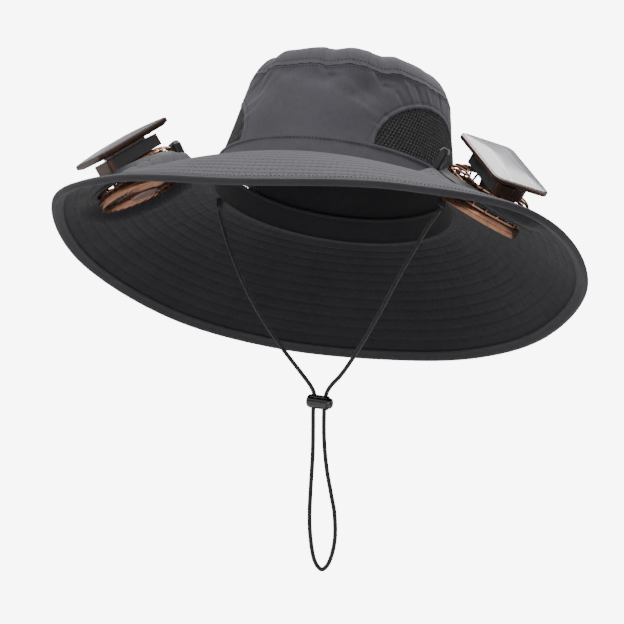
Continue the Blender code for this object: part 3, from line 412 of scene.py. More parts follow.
def make_camera():
    data = bpy.data.cameras.new("camera")
    data.lens = CAMERA_LENS
    data.sensor_width = 36.0
    data.clip_start = 0.05
    data.clip_end = 30.0
    camera = bpy.data.objects.new("camera", data)
    bpy.context.scene.collection.objects.link(camera)
    turn = Matrix((CAMERA_RIGHT, CAMERA_UP, CAMERA_BACK)).transposed().to_4x4()
    camera.matrix_world = Matrix.Translation(CAMERA_PLACE) @ turn
    bpy.context.scene.camera = camera


def add_light(name, place, size, power):
    """Round area light that faces the origin."""
    data = bpy.data.lights.new(name, "AREA")
    data.shape = "DISK"
    data.size = size
    data.energy = power
    light = bpy.data.objects.new(name, data)
    bpy.context.scene.collection.objects.link(light)
    turn = Vector(place).to_track_quat("Z", "Y").to_matrix().to_4x4()
    light.matrix_world = Matrix.Translation(place) @ turn


def make_studio():
    """White backdrop, soft fill, bright strips in reflections, lights and floor."""
    world = bpy.data.worlds.new("studio")
    bpy.context.scene.world = world
    world.use_nodes = True
    tree = world.node_tree
    tree.nodes.clear()
    out = tree.nodes.new("ShaderNodeOutputWorld")
    shown = tree.nodes.new("ShaderNodeBackground")
    shown.inputs["Color"].default_value = (1.0, 1.0, 1.0, 1.0)
    shown.inputs["Strength"].default_value = BACKDROP_STRENGTH
    lit = tree.nodes.new("ShaderNodeBackground")
    lit.inputs["Color"].default_value = (0.95, 0.97, 1.0, 1.0)
    lit.inputs["Strength"].default_value = FILL_STRENGTH
    path = tree.nodes.new("ShaderNodeLightPath")
    mix = tree.nodes.new("ShaderNodeMixShader")
    tree.links.new(path.outputs["Is Camera Ray"], mix.inputs["Fac"])
    tree.links.new(lit.outputs[0], mix.inputs[1])
    tree.links.new(shown.outputs[0], mix.inputs[2])
    strips = tree.nodes.new("ShaderNodeBackground")
    direction = tree.nodes.new("ShaderNodeTexCoord")
    bands = tree.nodes.new("ShaderNodeTexWave")
    bands.bands_direction = "Z"
    bands.inputs["Scale"].default_value = 0.55
    bands.inputs["Distortion"].default_value = 1.2
    bands.inputs["Detail"].default_value = 0.0
    level = tree.nodes.new("ShaderNodeMapRange")
    level.inputs["To Min"].default_value = STRIP_DARK
    level.inputs["To Max"].default_value = STRIP_BRIGHT
    tree.links.new(direction.outputs["Generated"], bands.inputs["Vector"])
    tree.links.new(bands.outputs["Fac"], level.inputs["Value"])
    tree.links.new(level.outputs["Result"], strips.inputs["Strength"])
    glossy = tree.nodes.new("ShaderNodeMixShader")
    tree.links.new(path.outputs["Is Glossy Ray"], glossy.inputs["Fac"])
    tree.links.new(mix.outputs[0], glossy.inputs[1])
    tree.links.new(strips.outputs[0], glossy.inputs[2])
    tree.links.new(glossy.outputs[0], out.inputs["Surface"])
    for row in LIGHTS:
        add_light(*row)
    mesh = bpy.data.meshes.new("floor")
    signs = ((-1, -1), (1, -1), (1, 1), (-1, 1))
    corners = [(x * FLOOR_REACH, y * FLOOR_REACH, FLOOR_HEIGHT) for x, y in signs]
    mesh.from_pydata(corners, [], [(0, 1, 2, 3)])
    floor = bpy.data.objects.new("floor", mesh)
    bpy.context.scene.collection.objects.link(floor)
    look = bpy.data.materials.new("pale_floor")
    look.use_nodes = True
    shader = look.node_tree.nodes["Principled BSDF"]
    shader.inputs["Base Color"].default_value = (0.80, 0.80, 0.80, 1.0)
    shader.inputs["Roughness"].default_value = 0.9
    mesh.materials.append(look)


# Materials


class Look:
    """A material with short calls for its nodes."""

    def __init__(self, name, colour, roughness, metallic=0.0, **settings):
        self.material = bpy.data.materials.new(name)
        self.material.use_nodes = True
        self.tree = self.material.node_tree
        self.shader = self.tree.nodes["Principled BSDF"]
        self.set(self.shader, "Base Color", colour)
        self.set(self.shader, "Roughness", roughness)
        self.set(self.shader, "Metallic", metallic)
        for socket, value in settings.items():
            self.set(self.shader, socket.replace("_", " "), value)

    def set(self, node, socket, value):
        if isinstance(value, bpy.types.NodeSocket):
            self.tree.links.new(value, node.inputs[socket])
        elif isinstance(value, tuple) and len(value) == 3 and node.inputs[socket].type == "RGBA":
            node.inputs[socket].default_value = (*value, 1.0)
        else:
            node.inputs[socket].default_value = value

    def node(self, kind, output=0, inputs=(), **settings):
        made = self.tree.nodes.new("ShaderNode" + kind)
        for key, value in settings.items():
            setattr(made, key, value)
        for socket, value in dict(inputs).items():
            self.set(made, socket, value)
        return made.outputs[output]

    def math(self, operation, first, second=0.0, clamp=False):
        made = self.tree.nodes.new("ShaderNodeMath")
        made.operation = operation
        made.use_clamp = clamp
        self.set(made, 0, first)
        self.set(made, 1, second)
        return made.outputs[0]

    def coordinates(self, kind="Object", scale=(1.0, 1.0, 1.0)):
        source = self.tree.nodes.new("ShaderNodeTexCoord").outputs[kind]
        return self.node("Mapping", inputs={"Vector": source, "Scale": scale})

    def noise(self, where, scale, detail=3.0, roughness=0.5):
        inputs = {"Vector": where, "Scale": scale, "Detail": detail, "Roughness": roughness}
        return self.node("TexNoise", inputs=inputs)

    def wave(self, where, scale, direction="X", distortion=0.0):
        return self.node(
            "TexWave", output=1, wave_type="BANDS", bands_direction=direction,
            inputs={"Vector": where, "Scale": scale, "Distortion": distortion, "Detail": 1.0},
        )

    def ramp(self, factor, stops):
        made = self.tree.nodes.new("ShaderNodeValToRGB")
        self.tree.links.new(factor, made.inputs["Fac"])
        ramp = made.color_ramp
        while len(ramp.elements) < len(stops):
            ramp.elements.new(0.5)
        for element, (at, colour) in zip(ramp.elements, stops):
            element.position = at
            element.color = (*colour, 1.0)
        return made.outputs["Color"]

    def roughness(self, drift, low, high):
        """Let the roughness follow a noise between two values."""
        inputs = {"Value": drift, "From Min": 0.3, "From Max": 0.7, "To Min": low, "To Max": high}
        self.set(self.shader, "Roughness", self.node("MapRange", inputs=inputs))

    def colour(self, value):
        self.set(self.shader, "Base Color", value)

    def bump(self, height, strength, distance, below=None):
        inputs = {"Height": height, "Strength": strength, "Distance": distance}
        if below is not None:
            inputs["Normal"] = below
        result = self.node("Bump", inputs=inputs)
        self.set(self.shader, "Normal", result)
        return result


def band_scale(pitch):
    """Scale of a band texture whose bands repeat at each pitch."""
    return math.pi / pitch / 10.0


def cloth_look(name, dark, light, roughness=0.82, thread=0.00042, wrinkle=0.0, sheen=0.12):
    """Plain weave in UV metres, with soft shade changes and fine slubs."""
    look = Look(name, dark, roughness, Sheen_Weight=sheen, Sheen_Roughness=0.5)
    look.set(look.shader, "Specular IOR Level", 0.25)
    flat = look.coordinates("UV")
    turns = band_scale(thread)
    warp = look.wave(flat, turns, "X")
    weft = look.wave(flat, turns, "Y")
    weave = look.math("MULTIPLY", warp, weft)
    slubs = look.noise(look.coordinates("UV", (180.0, 2600.0, 1.0)), 1.0, 2.0)
    slubs_across = look.noise(look.coordinates("UV", (2600.0, 180.0, 1.0)), 1.0, 2.0)
    shade = look.noise(look.coordinates(), 26.0, 3.0)
    along = look.math("MULTIPLY", slubs, 0.32)
    across = look.math("MULTIPLY", slubs_across, 0.32)
    mixed = look.math("ADD", along, across)
    mixed = look.math("ADD", mixed, look.math("MULTIPLY", shade, 0.36))
    look.colour(look.ramp(mixed, ((0.36, dark), (0.64, light))))
    under = None
    if wrinkle > 0.0:
        soft = look.noise(look.coordinates("UV", (150.0, 42.0, 1.0)), 1.0, 3.0, 0.55)
        under = look.bump(soft, 0.8, wrinkle)
    look.bump(weave, 0.35, 0.00012, under)
    return look


def net_look():
    """Fuzzy dark yarn of the vents."""
    look = Look("net_yarn", NET_GREY, 0.7, Sheen_Weight=0.2)
    fuzz = look.noise(look.coordinates(), 2600.0, 2.0)
    look.colour(look.ramp(fuzz, ((0.35, (0.024, 0.024, 0.025)), (0.65, (0.070, 0.071, 0.072)))))
    look.bump(fuzz, 0.6, 0.0002)
    return look


def cord_look():
    """Round braid: crossed strands in UV metres."""
    look = Look("cord_braid", CORD_BLACK, 0.62, Sheen_Weight=0.25)
    rising = look.coordinates("UV")
    slope = math.radians(BRAID_TURN)
    turn = look.node("Mapping", inputs={"Vector": rising, "Rotation": (0.0, 0.0, slope)})
    other = look.node("Mapping", inputs={"Vector": rising, "Rotation": (0.0, 0.0, -slope)})
    strand = band_scale(BRAID_PITCH)
    first = look.wave(turn, strand, "X")
    second = look.wave(other, strand, "X")
    braid = look.math("MAXIMUM", first, second)
    look.colour(look.ramp(braid, ((0.45, (0.003, 0.003, 0.003)), (0.95, (0.020, 0.020, 0.020)))))
    look.bump(braid, 0.9, 0.0004)
    return look


def metal_look(name, colour, dark, roughness=0.20):
    """Anodised copper with faint turning marks."""
    look = Look(name, colour, roughness, 0.95)
    marks = look.noise(look.coordinates(), 260.0, 4.0, 0.6)
    look.colour(look.ramp(marks, ((0.30, dark), (0.62, colour))))
    rough = look.noise(look.coordinates(), 900.0, 2.0)
    look.roughness(rough, roughness * 0.8, roughness * 1.35)
    look.bump(rough, 0.12, 0.00008)
    return look


def plastic_look(name, colour, roughness, lift=1.5, grain=0.00006, coat=0.0):
    """Moulded plastic: faint shade drift and a fine spark-eroded grain."""
    look = Look(name, colour, roughness, Coat_Weight=coat, Coat_Roughness=0.12)
    drift = look.noise(look.coordinates(), 60.0, 2.0)
    bright = tuple(min(1.0, part * lift) for part in colour)
    look.colour(look.ramp(drift, ((0.35, colour), (0.68, bright))))
    fine = look.noise(look.coordinates(), 5200.0, 1.0)
    look.bump(fine, 0.25, grain)
    look.roughness(drift, roughness * 0.85, roughness * 1.15)
    return look


def glass_look():
    """Pale solar cell under glass: fine slanting lines and two bright bus bars."""
    look = Look("solar_cell", CELL_GREY, 0.34, Coat_Weight=0.45, Coat_Roughness=0.12)
    place = look.coordinates("UV")
    split = look.tree.nodes.new("ShaderNodeSeparateXYZ")
    look.tree.links.new(place, split.inputs[0])
    slant = look.node("Mapping", inputs={"Vector": place, "Rotation": (0.0, 0.0, math.radians(CELL_LINE_TURN))})
    lines = look.wave(slant, band_scale(CELL_LINE_PITCH), "X")
    clouds = look.noise(look.coordinates("UV", (60.0, 60.0, 60.0)), 1.0, 3.0)
    base = look.ramp(clouds, ((0.3, (0.17, 0.165, 0.195)), (0.7, (0.23, 0.225, 0.255))))
    grid = look.ramp(lines, ((0.55, (0.0, 0.0, 0.0)), (0.98, (1.0, 1.0, 1.0))))
    first = look.node("MixRGB", blend_type="MIX", inputs={
        "Fac": look.math("MULTIPLY", grid, 0.55), "Color1": base, "Color2": (0.50, 0.50, 0.53),
    })
    bars = None
    for offset in (-BUS_BAR_OFFSET, BUS_BAR_OFFSET):
        away = look.math("ABSOLUTE", look.math("SUBTRACT", split.outputs["Y"], offset))
        bar = look.math("LESS_THAN", away, BUS_BAR_HALF_WIDTH)
        bars = bar if bars is None else look.math("MAXIMUM", bars, bar)
    second = look.node("MixRGB", blend_type="MIX", inputs={
        "Fac": bars, "Color1": first, "Color2": (0.82, 0.80, 0.80),
    })
    look.colour(second)
    return look


# Mesh making


def add_mesh(name, points, faces, looks, uv=None, face_looks=None, sharp=40.0):
    """Mesh object from arrays; uv holds one pair for each corner of each face."""
    mesh = bpy.data.meshes.new(name)
    mesh.from_pydata([tuple(p) for p in np.asarray(points, float)], [], [tuple(f) for f in faces])
    if uv is not None:
        layer = mesh.uv_layers.new(name="UVMap")
        layer.data.foreach_set("uv", np.asarray(uv, np.float32).ravel())
    looks = looks if isinstance(looks, (list, tuple)) else [looks]
    for look in looks:
        mesh.materials.append(look.material)
    if face_looks is not None:
        mesh.polygons.foreach_set("material_index", np.asarray(face_looks, np.int32))
    mesh.shade_smooth()
    mesh.set_sharp_from_angle(angle=math.radians(sharp))
    body = bpy.data.objects.new(name, mesh)
    bpy.context.scene.collection.objects.link(body)
    return body


def grid_faces(rows, columns, close_rows, close_columns):
    """Corner numbers of a grid's faces, and the grid steps of each corner."""
    row_count = rows if close_rows else rows - 1
    column_count = columns if close_columns else columns - 1
    r, c = np.meshgrid(np.arange(row_count), np.arange(column_count), indexing="ij")
    r = r.ravel()
    c = c.ravel()
    steps = [(0, 0), (0, 1), (1, 1), (1, 0)]
    corners = np.stack([((r + i) % rows) * columns + (c + j) % columns for i, j in steps], 1)
    grid_rows = np.stack([r + i for i, j in steps], 1)
    grid_columns = np.stack([c + j for i, j in steps], 1)
    return corners, grid_rows, grid_columns, r


def add_grid(name, points, looks, close_rows=False, close_columns=True, uv=None, row_looks=None,
             flip=False, sharp=40.0):
    """Skin a grid of points (rows, columns, 3); uv has one row and column more if closed."""
    rows, columns = points.shape[:2]
    corners, grid_rows, grid_columns, face_row = grid_faces(rows, columns, close_rows, close_columns)
    corner_uv = uv[grid_rows, grid_columns] if uv is not None else None
    if flip:
        corners = corners[:, ::-1]
        corner_uv = corner_uv[:, ::-1] if corner_uv is not None else None
    face_looks = None if row_looks is None else np.asarray(row_looks)[face_row]
    return add_mesh(name, points.reshape(-1, 3), corners.tolist(), looks, corner_uv, face_looks, sharp)


def length_uv(points, close_rows, close_columns):
    """UV in metres measured along the middle row and the first column."""
    middle = points[len(points) // 2]
    if close_columns:
        middle = np.concatenate([middle, middle[:1]])
    side = points[:, 0]
    if close_rows:
        side = np.concatenate([side, side[:1]])
    u = np.concatenate([[0.0], np.cumsum(np.linalg.norm(np.diff(middle, axis=0), axis=1))])
    v = np.concatenate([[0.0], np.cumsum(np.linalg.norm(np.diff(side, axis=0), axis=1))])
    return np.stack(np.meshgrid(u, v, indexing="xy"), -1)


def path_frames(points, closed=False):
    """Tangents and steady side vectors along a path."""
    points = np.asarray(points, float)
    if closed:
        tangents = np.roll(points, -1, 0) - np.roll(points, 1, 0)
    else:
        tangents = np.gradient(points, axis=0)
    tangents /= np.linalg.norm(tangents, axis=1)[:, None]
    side = np.cross(tangents[0], (0.13, 0.31, 0.94))
    side /= np.linalg.norm(side)
    sides = []
    for tangent in tangents:
        side = side - tangent * side.dot(tangent)
        side /= np.linalg.norm(side)
        sides.append(side)
    return tangents, np.array(sides)


def tube_points(points, radius, sides, ups=None, flatness=1.0, closed=False):
    """Rings round a path; ups steers the short axis of a flat section."""
    points = np.asarray(points, float)
    tangents, side = path_frames(points, closed)
    if ups is not None:
        side = np.cross(np.broadcast_to(ups, points.shape), tangents)
        side /= np.linalg.norm(side, axis=1)[:, None]
    up = np.cross(tangents, side)
    turns = np.arange(sides) * math.tau / sides
    wide = np.cos(turns)[None, :, None] * side[:, None]
    tall = flatness * np.sin(turns)[None, :, None] * up[:, None]
    return points[:, None] + (wide + tall) * np.asarray(radius, float).reshape(-1, 1, 1)


def tube_faces(rows, sides, closed=False):
    """Faces round a stack of rings, with both ends capped unless the stack is closed."""
    faces = grid_faces(rows, sides, closed, True)[0].tolist()
    if not closed:
        last = (rows - 1) * sides
        faces.append(list(range(sides))[::-1])
        faces.append(list(range(last, last + sides)))
    return faces


def mend(body, fill=False):
    """Turn all faces outward, and close the open ends where asked."""
    made = bmesh.new()
    made.from_mesh(body.data)
    if fill:
        bmesh.ops.holes_fill(made, edges=[e for e in made.edges if e.is_boundary], sides=0)
    bmesh.ops.recalc_face_normals(made, faces=made.faces)
    made.to_mesh(body.data)
    made.free()


class Batch:
    """Collects many small shapes into one object."""

    def __init__(self):
        self.points = []
        self.faces = []
        self.count = 0

    def add(self, points, faces):
        points = np.asarray(points, float).reshape(-1, 3)
        self.points.append(points)
        self.faces.extend((np.asarray(face) + self.count).tolist() for face in faces)
        self.count += len(points)

    def tube(self, points, radius, sides, ups=None, flatness=1.0, closed=False):
        rings = tube_points(points, radius, sides, ups, flatness, closed)
        self.add(rings, tube_faces(len(rings), sides, closed))

    def lathe(self, profile, steps):
        """Turn a closed profile of (radius, height) about Z."""
        turns = np.arange(steps) * math.tau / steps
        radius = np.array([p[0] for p in profile])[None]
        height = np.array([p[1] for p in profile])[None]
        rings = np.stack([
            radius * np.cos(turns)[:, None],
            radius * np.sin(turns)[:, None],
            height + 0.0 * turns[:, None],
        ], -1)
        self.add(rings, grid_faces(steps, len(profile), True, True)[0].tolist())

    def loft(self, rings):
        """Skin stacked outlines and cap both ends."""
        rings = np.asarray(rings, float)
        self.add(rings, tube_faces(*rings.shape[:2]))

    def make(self, name, look, place=None, sharp=40.0):
        body = add_mesh(name, np.concatenate(self.points), self.faces, look, sharp=sharp)
        if place is not None:
            body.data.transform(place)
        mend(body)
        body.data.set_sharp_from_angle(angle=math.radians(sharp))
        return body


def rounded_box(half_length, half_depth, corner, arc_points=8):
    """Outline of a rectangle with round corners."""
    points = []
    for side_x, side_y, start in ((1, 1, 0), (-1, 1, 90), (-1, -1, 180), (1, -1, 270)):
        for i in range(arc_points):
            turn = math.radians(start + 90.0 * i / (arc_points - 1))
            x = side_x * (half_length - corner) + corner * math.cos(turn)
            y = side_y * (half_depth - corner) + corner * math.sin(turn)
            points.append((x, y))
    return np.array(points)


def at_height(outline, z):
    """Flat outline lifted to a height."""
    return np.column_stack([outline, np.full(len(outline), z)])


# Hat form


def smooth(value):
    """Soft step from 0 to 1."""
    held = np.clip(value, 0.0, 1.0)
    return held * held * (3.0 - 2.0 * held)


def turn_gap(bearing, other):
    """Signed degrees from one bearing to another."""
    return (bearing - other + 180.0) % 360.0 - 180.0


def polar(radius, bearing, z):
    """Points from a radius, a bearing in degrees and a height."""
    turn = np.radians(bearing)
    radius, turn, z = np.broadcast_arrays(radius, turn, z)
    return np.stack([radius * np.cos(turn), radius * np.sin(turn), z], -1)


def oval_radius(half_width, half_length, bearing):
    turn = np.radians(bearing)
    return half_width * half_length / np.hypot(half_length * np.cos(turn), half_width * np.sin(turn))


def curve_value(rows, column, share):
    """Column of a table of rows on a smooth curve."""
    table = np.array(rows)
    at = table[:, 0]
    values = table[:, column]
    slopes = np.gradient(values, at)
    share = np.clip(share, at[0], at[-1])
    i = np.clip(np.searchsorted(at, share, "right") - 1, 0, len(at) - 2)
    step = at[i + 1] - at[i]
    t = (share - at[i]) / step
    low = (2 * t**3 - 3 * t**2 + 1) * values[i] + (t**3 - 2 * t**2 + t) * step * slopes[i]
    high = (3 * t**2 - 2 * t**3) * values[i + 1] + (t**3 - t**2) * step * slopes[i + 1]
    return low + high


def foot_radius(bearing, inset=0.0):
    return oval_radius(CROWN_HALF_WIDTH, CROWN_HALF_LENGTH, bearing) - inset


def side_fold(bearing, share):
    depth = 0.0
    for at, height, size, spread, tall in SIDE_FOLDS:
        across = turn_gap(bearing, at) / spread
        up = (share - height) / tall
        depth = depth + size * np.exp(-across * across - up * up)
    return depth * CROWN_HALF_WIDTH


def crease_depth(bearing, share):
    """Fine creases, each along a short line on the crown's side."""
    depth = 0.0
    degree = math.radians(1.0) * WALL_RADIUS_MM
    tall = SIDE_HEIGHT * 1000.0
    for a1, h1, a2, h2, size, width in CREASES:
        x = turn_gap(bearing, a1) * degree
        y = (share - h1) * tall
        line_x = turn_gap(a2, a1) * degree
        line_y = (h2 - h1) * tall
        length = line_x**2 + line_y**2
        t = np.clip((x * line_x + y * line_y) / length, 0.0, 1.0)
        away = np.hypot(x - line_x * t, y - line_y * t) / width
        fade = 1.0 - 0.75 * t
        depth = depth + size * fade * np.exp(-away * away)
    return depth / 1000.0


def seam_dip(bearing):
    depth = 0.0
    for at, size, spread in SEAM_DIPS:
        across = turn_gap(bearing, at) / spread
        depth = depth + size / 1000.0 * np.exp(-across * across)
    return depth


def crown_point(bearing, share, inset, overhang=0.0, fine=0.0):
    """Point on the crown's side; fine adds the creases and the seam's dips."""
    bearing, share = np.broadcast_arrays(np.asarray(bearing, float), np.asarray(share, float))
    width = curve_value(CROWN_ROWS, 1, share) * CROWN_HALF_WIDTH
    length = curve_value(CROWN_ROWS, 2, share) * CROWN_HALF_LENGTH
    radius = oval_radius(width, length, bearing) + side_fold(bearing, share) - inset + overhang
    radius = radius + crease_depth(bearing, share) * fine
    tilt = TIP_TILT * share * np.sin(np.radians(bearing))
    dip = seam_dip(bearing) * smooth((share - 0.6) / 0.4) * fine
    place = polar(radius, bearing, GAP + SIDE_HEIGHT * share + tilt - dip)
    place[..., 0] += CROWN_LEAN_X * share
    place[..., 1] += CROWN_LEAN_Y * share
    return place


def rim_value(column, bearing):
    """Reach (1) or drop (2) of the rim in metres, on a smooth curve round the table."""
    values = [row[column] for row in RIM_ROWS]
    ring = np.array(values + values[-2:0:-1])
    place = (turn_gap(np.asarray(bearing, float), -90.0) % 360.0) / RIM_ROW_STEP
    i = np.floor(place).astype(int)
    part = place - i
    a, b, c, d = (ring[(i + k) % len(ring)] for k in (-1, 0, 1, 2))
    curve = 2.0 * b + (c - a) * part + (2.0 * a - 5.0 * b + 4.0 * c - d) * part**2
    curve = curve + (3.0 * b - a - 3.0 * c + d) * part**3
    return 0.5 * curve * BRIM_WIDTH


def plain_brim_point(bearing, share):
    bearing, share = np.broadcast_arrays(np.asarray(bearing, float), np.asarray(share, float))
    radius = foot_radius(bearing) + rim_value(1, bearing) * share
    drop = rim_value(2, bearing) * np.maximum(0.0, share) ** BRIM_CURVE
    return polar(radius, bearing, -BRIM_THICKNESS / 2.0 - drop)


class FanFrame:
    """Place of one fan: its seat in the brim and the axes of its ring and head."""

    def __init__(self, row):
        self.name, self.side, rise, tilt, heading, spin = row
        lean = math.radians(tilt)
        ahead = math.radians(heading)
        axis = Vector((
            self.side * math.sin(lean) * math.sin(ahead),
            -math.sin(lean) * math.cos(ahead),
            math.cos(lean),
        ))
        downhill = Vector((axis.x * axis.z, axis.y * axis.z, axis.z**2 - 1.0)).normalized()
        turn = Matrix.Rotation(math.radians(-self.side * spin), 3, axis)
        along = turn @ downhill
        across = axis.cross(along)
        bearing = SEAT_BEARING if self.side > 0 else 180.0 - SEAT_BEARING
        self.axis = axis
        self.seat = Vector(plain_brim_point(bearing, SEAT_SHARE))
        self.seat.z += rise
        self.ring = Matrix.Translation(self.seat - axis * SEAT_HEIGHT)
        self.ring = self.ring @ Matrix((along, across, axis)).transposed().to_4x4()
        tip = Vector((self.side * math.radians(HEAD_ROLL), math.radians(HEAD_PITCH), 0.0))
        self.head_tilt = Matrix.Translation((0.0, 0.0, HEAD_HEIGHT)) @ Matrix.Rotation(tip.length, 4, tip)
        self.head = self.ring @ self.head_tilt

    def under_box(self, radius, bearing, below):
        """Height under the battery box, in the ring's axes."""
        normal = self.head_tilt.to_3x3() @ Vector((0.0, 0.0, 1.0))
        middle = self.head_tilt.translation - normal * (BOX_BELOW_PANEL + BOX_HEIGHT + below)
        turn = np.radians(bearing)
        x = radius * np.cos(turn) - middle.x
        y = radius * np.sin(turn) - middle.y
        return middle.z - (normal.x * x + normal.y * y) / normal.z


FANS = [FanFrame(row) for row in FAN_ROWS]


def brim_point(bearing, share):
    """Middle of the brim's cloth, flattened round each fan."""
    place = plain_brim_point(bearing, share).copy()
    for fan in FANS:
        away = place - np.array(fan.seat)
        level = -(fan.axis.x * away[..., 0] + fan.axis.y * away[..., 1]) / fan.axis.z
        distance = np.sqrt(away[..., 0] ** 2 + away[..., 1] ** 2 + level**2)
        blend = 1.0 - smooth((distance - SEAT_FLAT_RADIUS) / SEAT_BLEND)
        place[..., 2] += (fan.seat.z + level - place[..., 2]) * blend
    return place


def brim_normal(bearing, share):
    outward = brim_point(bearing, share + 0.004) - brim_point(bearing, share - 0.004)
    around = brim_point(bearing + 0.5, share) - brim_point(bearing - 0.5, share)
    normal = np.cross(outward, around)
    return normal / np.linalg.norm(normal, axis=-1)[..., None]


def brim_reach(bearing):
    span = plain_brim_point(bearing, 1.0) - plain_brim_point(bearing, 0.9)
    return np.linalg.norm(span, axis=-1) / 0.1


def brim_surface(bearing, back, height):
    """Point a distance back from the rim and a height off the cloth's middle."""
    share = 1.0 - back / brim_reach(bearing)
    return brim_point(bearing, share) + brim_normal(bearing, share) * np.asarray(height)[..., None]


def round_bearings(steps=ROUND_STEPS):
    return np.arange(steps) * 360.0 / steps


# Cloth pieces


def make_brim(top_look, under_look):
    """Quilted upper and lower sheets in one skin, with a hole for each fan."""
    bearing = round_bearings()
    reach = brim_reach(bearing)
    edge = BINDING_WALL + GAP
    rows = BRIM_ROW_COUNT
    part = np.linspace(0.0, 1.0, rows)[:, None]
    back = reach[None] * (1.0 - part) + edge * part
    sewn = (back - BINDING_WIDTH) / QUILT_PITCH
    away = np.abs(sewn - np.round(sewn)) * QUILT_PITCH
    inside = smooth((back - BINDING_WIDTH * 0.6) / 0.004) * smooth((reach[None] - back - 0.002) / 0.006)
    seat_gap = np.full(back.shape, 1.0)
    shares = 1.0 - back / reach[None]
    middle = brim_point(bearing[None], shares)
    for fan in FANS:
        distance = np.linalg.norm(middle - np.array(fan.seat), axis=-1)
        seat_gap = np.minimum(seat_gap, smooth((distance - SEAT_HOLE_RADIUS - 0.003) / 0.003))
    groove = np.exp(-((away / QUILT_GROOVE_WIDTH) ** 2))
    half = BRIM_THICKNESS / 2.0
    swell = (QUILT_PUFF * (1.0 - groove) - QUILT_GROOVE * groove) * inside * seat_gap
    normal = brim_normal(bearing[None], shares)
    top = middle + normal * (half + swell)[..., None]
    under = middle - normal * (half + swell)[..., None]
    inner_inset = WALL_INSET + CLOTH_WALL
    for sheet, height in ((top, half), (under, -half)):
        sheet[0] = polar(foot_radius(bearing, inner_inset), bearing, -half + height)
    points = np.concatenate([top, under[::-1]])
    around = np.append(bearing, 360.0) / 360.0 * BRIM_UV_LENGTH
    v_top = np.append(back, back[:, :1], 1)
    v = np.concatenate([v_top, v_top[::-1], v_top[:1]])
    uv = np.stack([np.broadcast_to(around, v.shape), v], -1)
    row_looks = [0] * (rows - 1) + [1] * (rows + 1)
    brim = add_grid("brim_cloth", points, [top_look, under_look], close_rows=True, uv=uv,
                    row_looks=row_looks, sharp=50.0)
    for fan in FANS:
        cut = Batch()
        cut.loft([circle(SEAT_HOLE_RADIUS, SEAT_HEIGHT + reach, 72) for reach in (-0.02, 0.02)])
        cut_with(brim, cut.make("hole_cutter", top_look, fan.ring))
    settle(brim, "brim")


def cut_with(body, tool):
    """Cut at once, and take the tool away."""
    step = body.modifiers.new("cut", "BOOLEAN")
    step.operation = "DIFFERENCE"
    step.solver = "EXACT"
    step.object = tool
    with bpy.context.temp_override(object=body, active_object=body, selected_objects=[body]):
        bpy.ops.object.modifier_apply(modifier=step.name)
    bpy.data.objects.remove(tool, do_unlink=True)


def settle(body, node, carrier="hat"):
    """Let a piece ride on its body in place of a solid."""
    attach(body, carrier)
    if node is not None:
        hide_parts(node)


def make_binding(look):
    """Folded tape with soft ridges, round edge and an open inside for the cloth."""
    bearing = round_bearings()
    inner = BRIM_THICKNESS / 2.0 + GAP
    outer = inner + BINDING_WALL
    width = BINDING_WIDTH
    section = [(width, outer - 0.0003), (width - 0.0006, outer)]
    edge = 0.0012
    flat = width - 2.0 * edge
    ridges = [0.00012 * math.sin(i * 0.8) for i in range(9)]
    section += [(edge + flat * (1.0 - i / 8.0), outer + ridges[i]) for i in range(9)]
    for i in range(9):
        turn = math.pi * i / 8.0
        section.append((edge - edge * math.sin(turn), outer * math.cos(turn)))
    section += [(edge + flat * i / 8.0, -outer - ridges[i]) for i in range(9)]
    section += [(width - 0.0006, -outer), (width, -outer + 0.0003)]
    section += [(width, -inner), (0.0011, -inner), (0.0011, inner), (width, inner)]
    level = np.ones(bearing.shape)
    points = np.stack([brim_surface(bearing, back, height * level) for back, height in section])
    uv = length_uv(points, True, True)
    body = add_grid("brim_tape", points, look, close_rows=True, uv=uv, sharp=60.0)
    settle(body, "brim_binding")


def make_crown_side(look, lining):
    """Outer and inner sheet of the crown's wall, cut open at the vents."""
    bearing = round_bearings()
    shares = np.linspace(0.0, 1.0, CROWN_OUTER_ROWS)
    outer = crown_point(bearing[None], shares[:, None], WALL_INSET, fine=1.0)
    inner_shares = np.linspace(1.0, 0.0, CROWN_INNER_ROWS)
    inner = crown_point(bearing[None], inner_shares[:, None], WALL_INSET + CLOTH_WALL, fine=1.0)
    points = np.concatenate([outer, inner])
    uv = length_uv(points, True, True)
    row_looks = [0] * CROWN_OUTER_ROWS + [1] * CROWN_INNER_ROWS
    body = add_grid("crown_side_cloth", points, [look, lining], close_rows=True, uv=uv,
                    row_looks=row_looks, flip=True, sharp=60.0)
    for side in (1, -1):
        cut_with(body, vent_cutter(side, look))
    settle(body, "crown_side")


def vent_edge(count, grow=0.0):
    """Arch of a vent as bearing offsets and heights, grown outward."""
    turns = np.linspace(0.0, math.pi, count)
    span = VENT_HALF_SPAN + math.degrees(grow / CROWN_HALF_WIDTH)
    offset = span * np.cos(turns)
    height = BAND_HEIGHT + GAP + (VENT_RISE + grow) * np.sin(turns)
    return offset, height


def vent_bearing(side):
    """Bearing of the middle of a vent."""
    return VENT_BEARING if side > 0 else 180.0 - VENT_BEARING


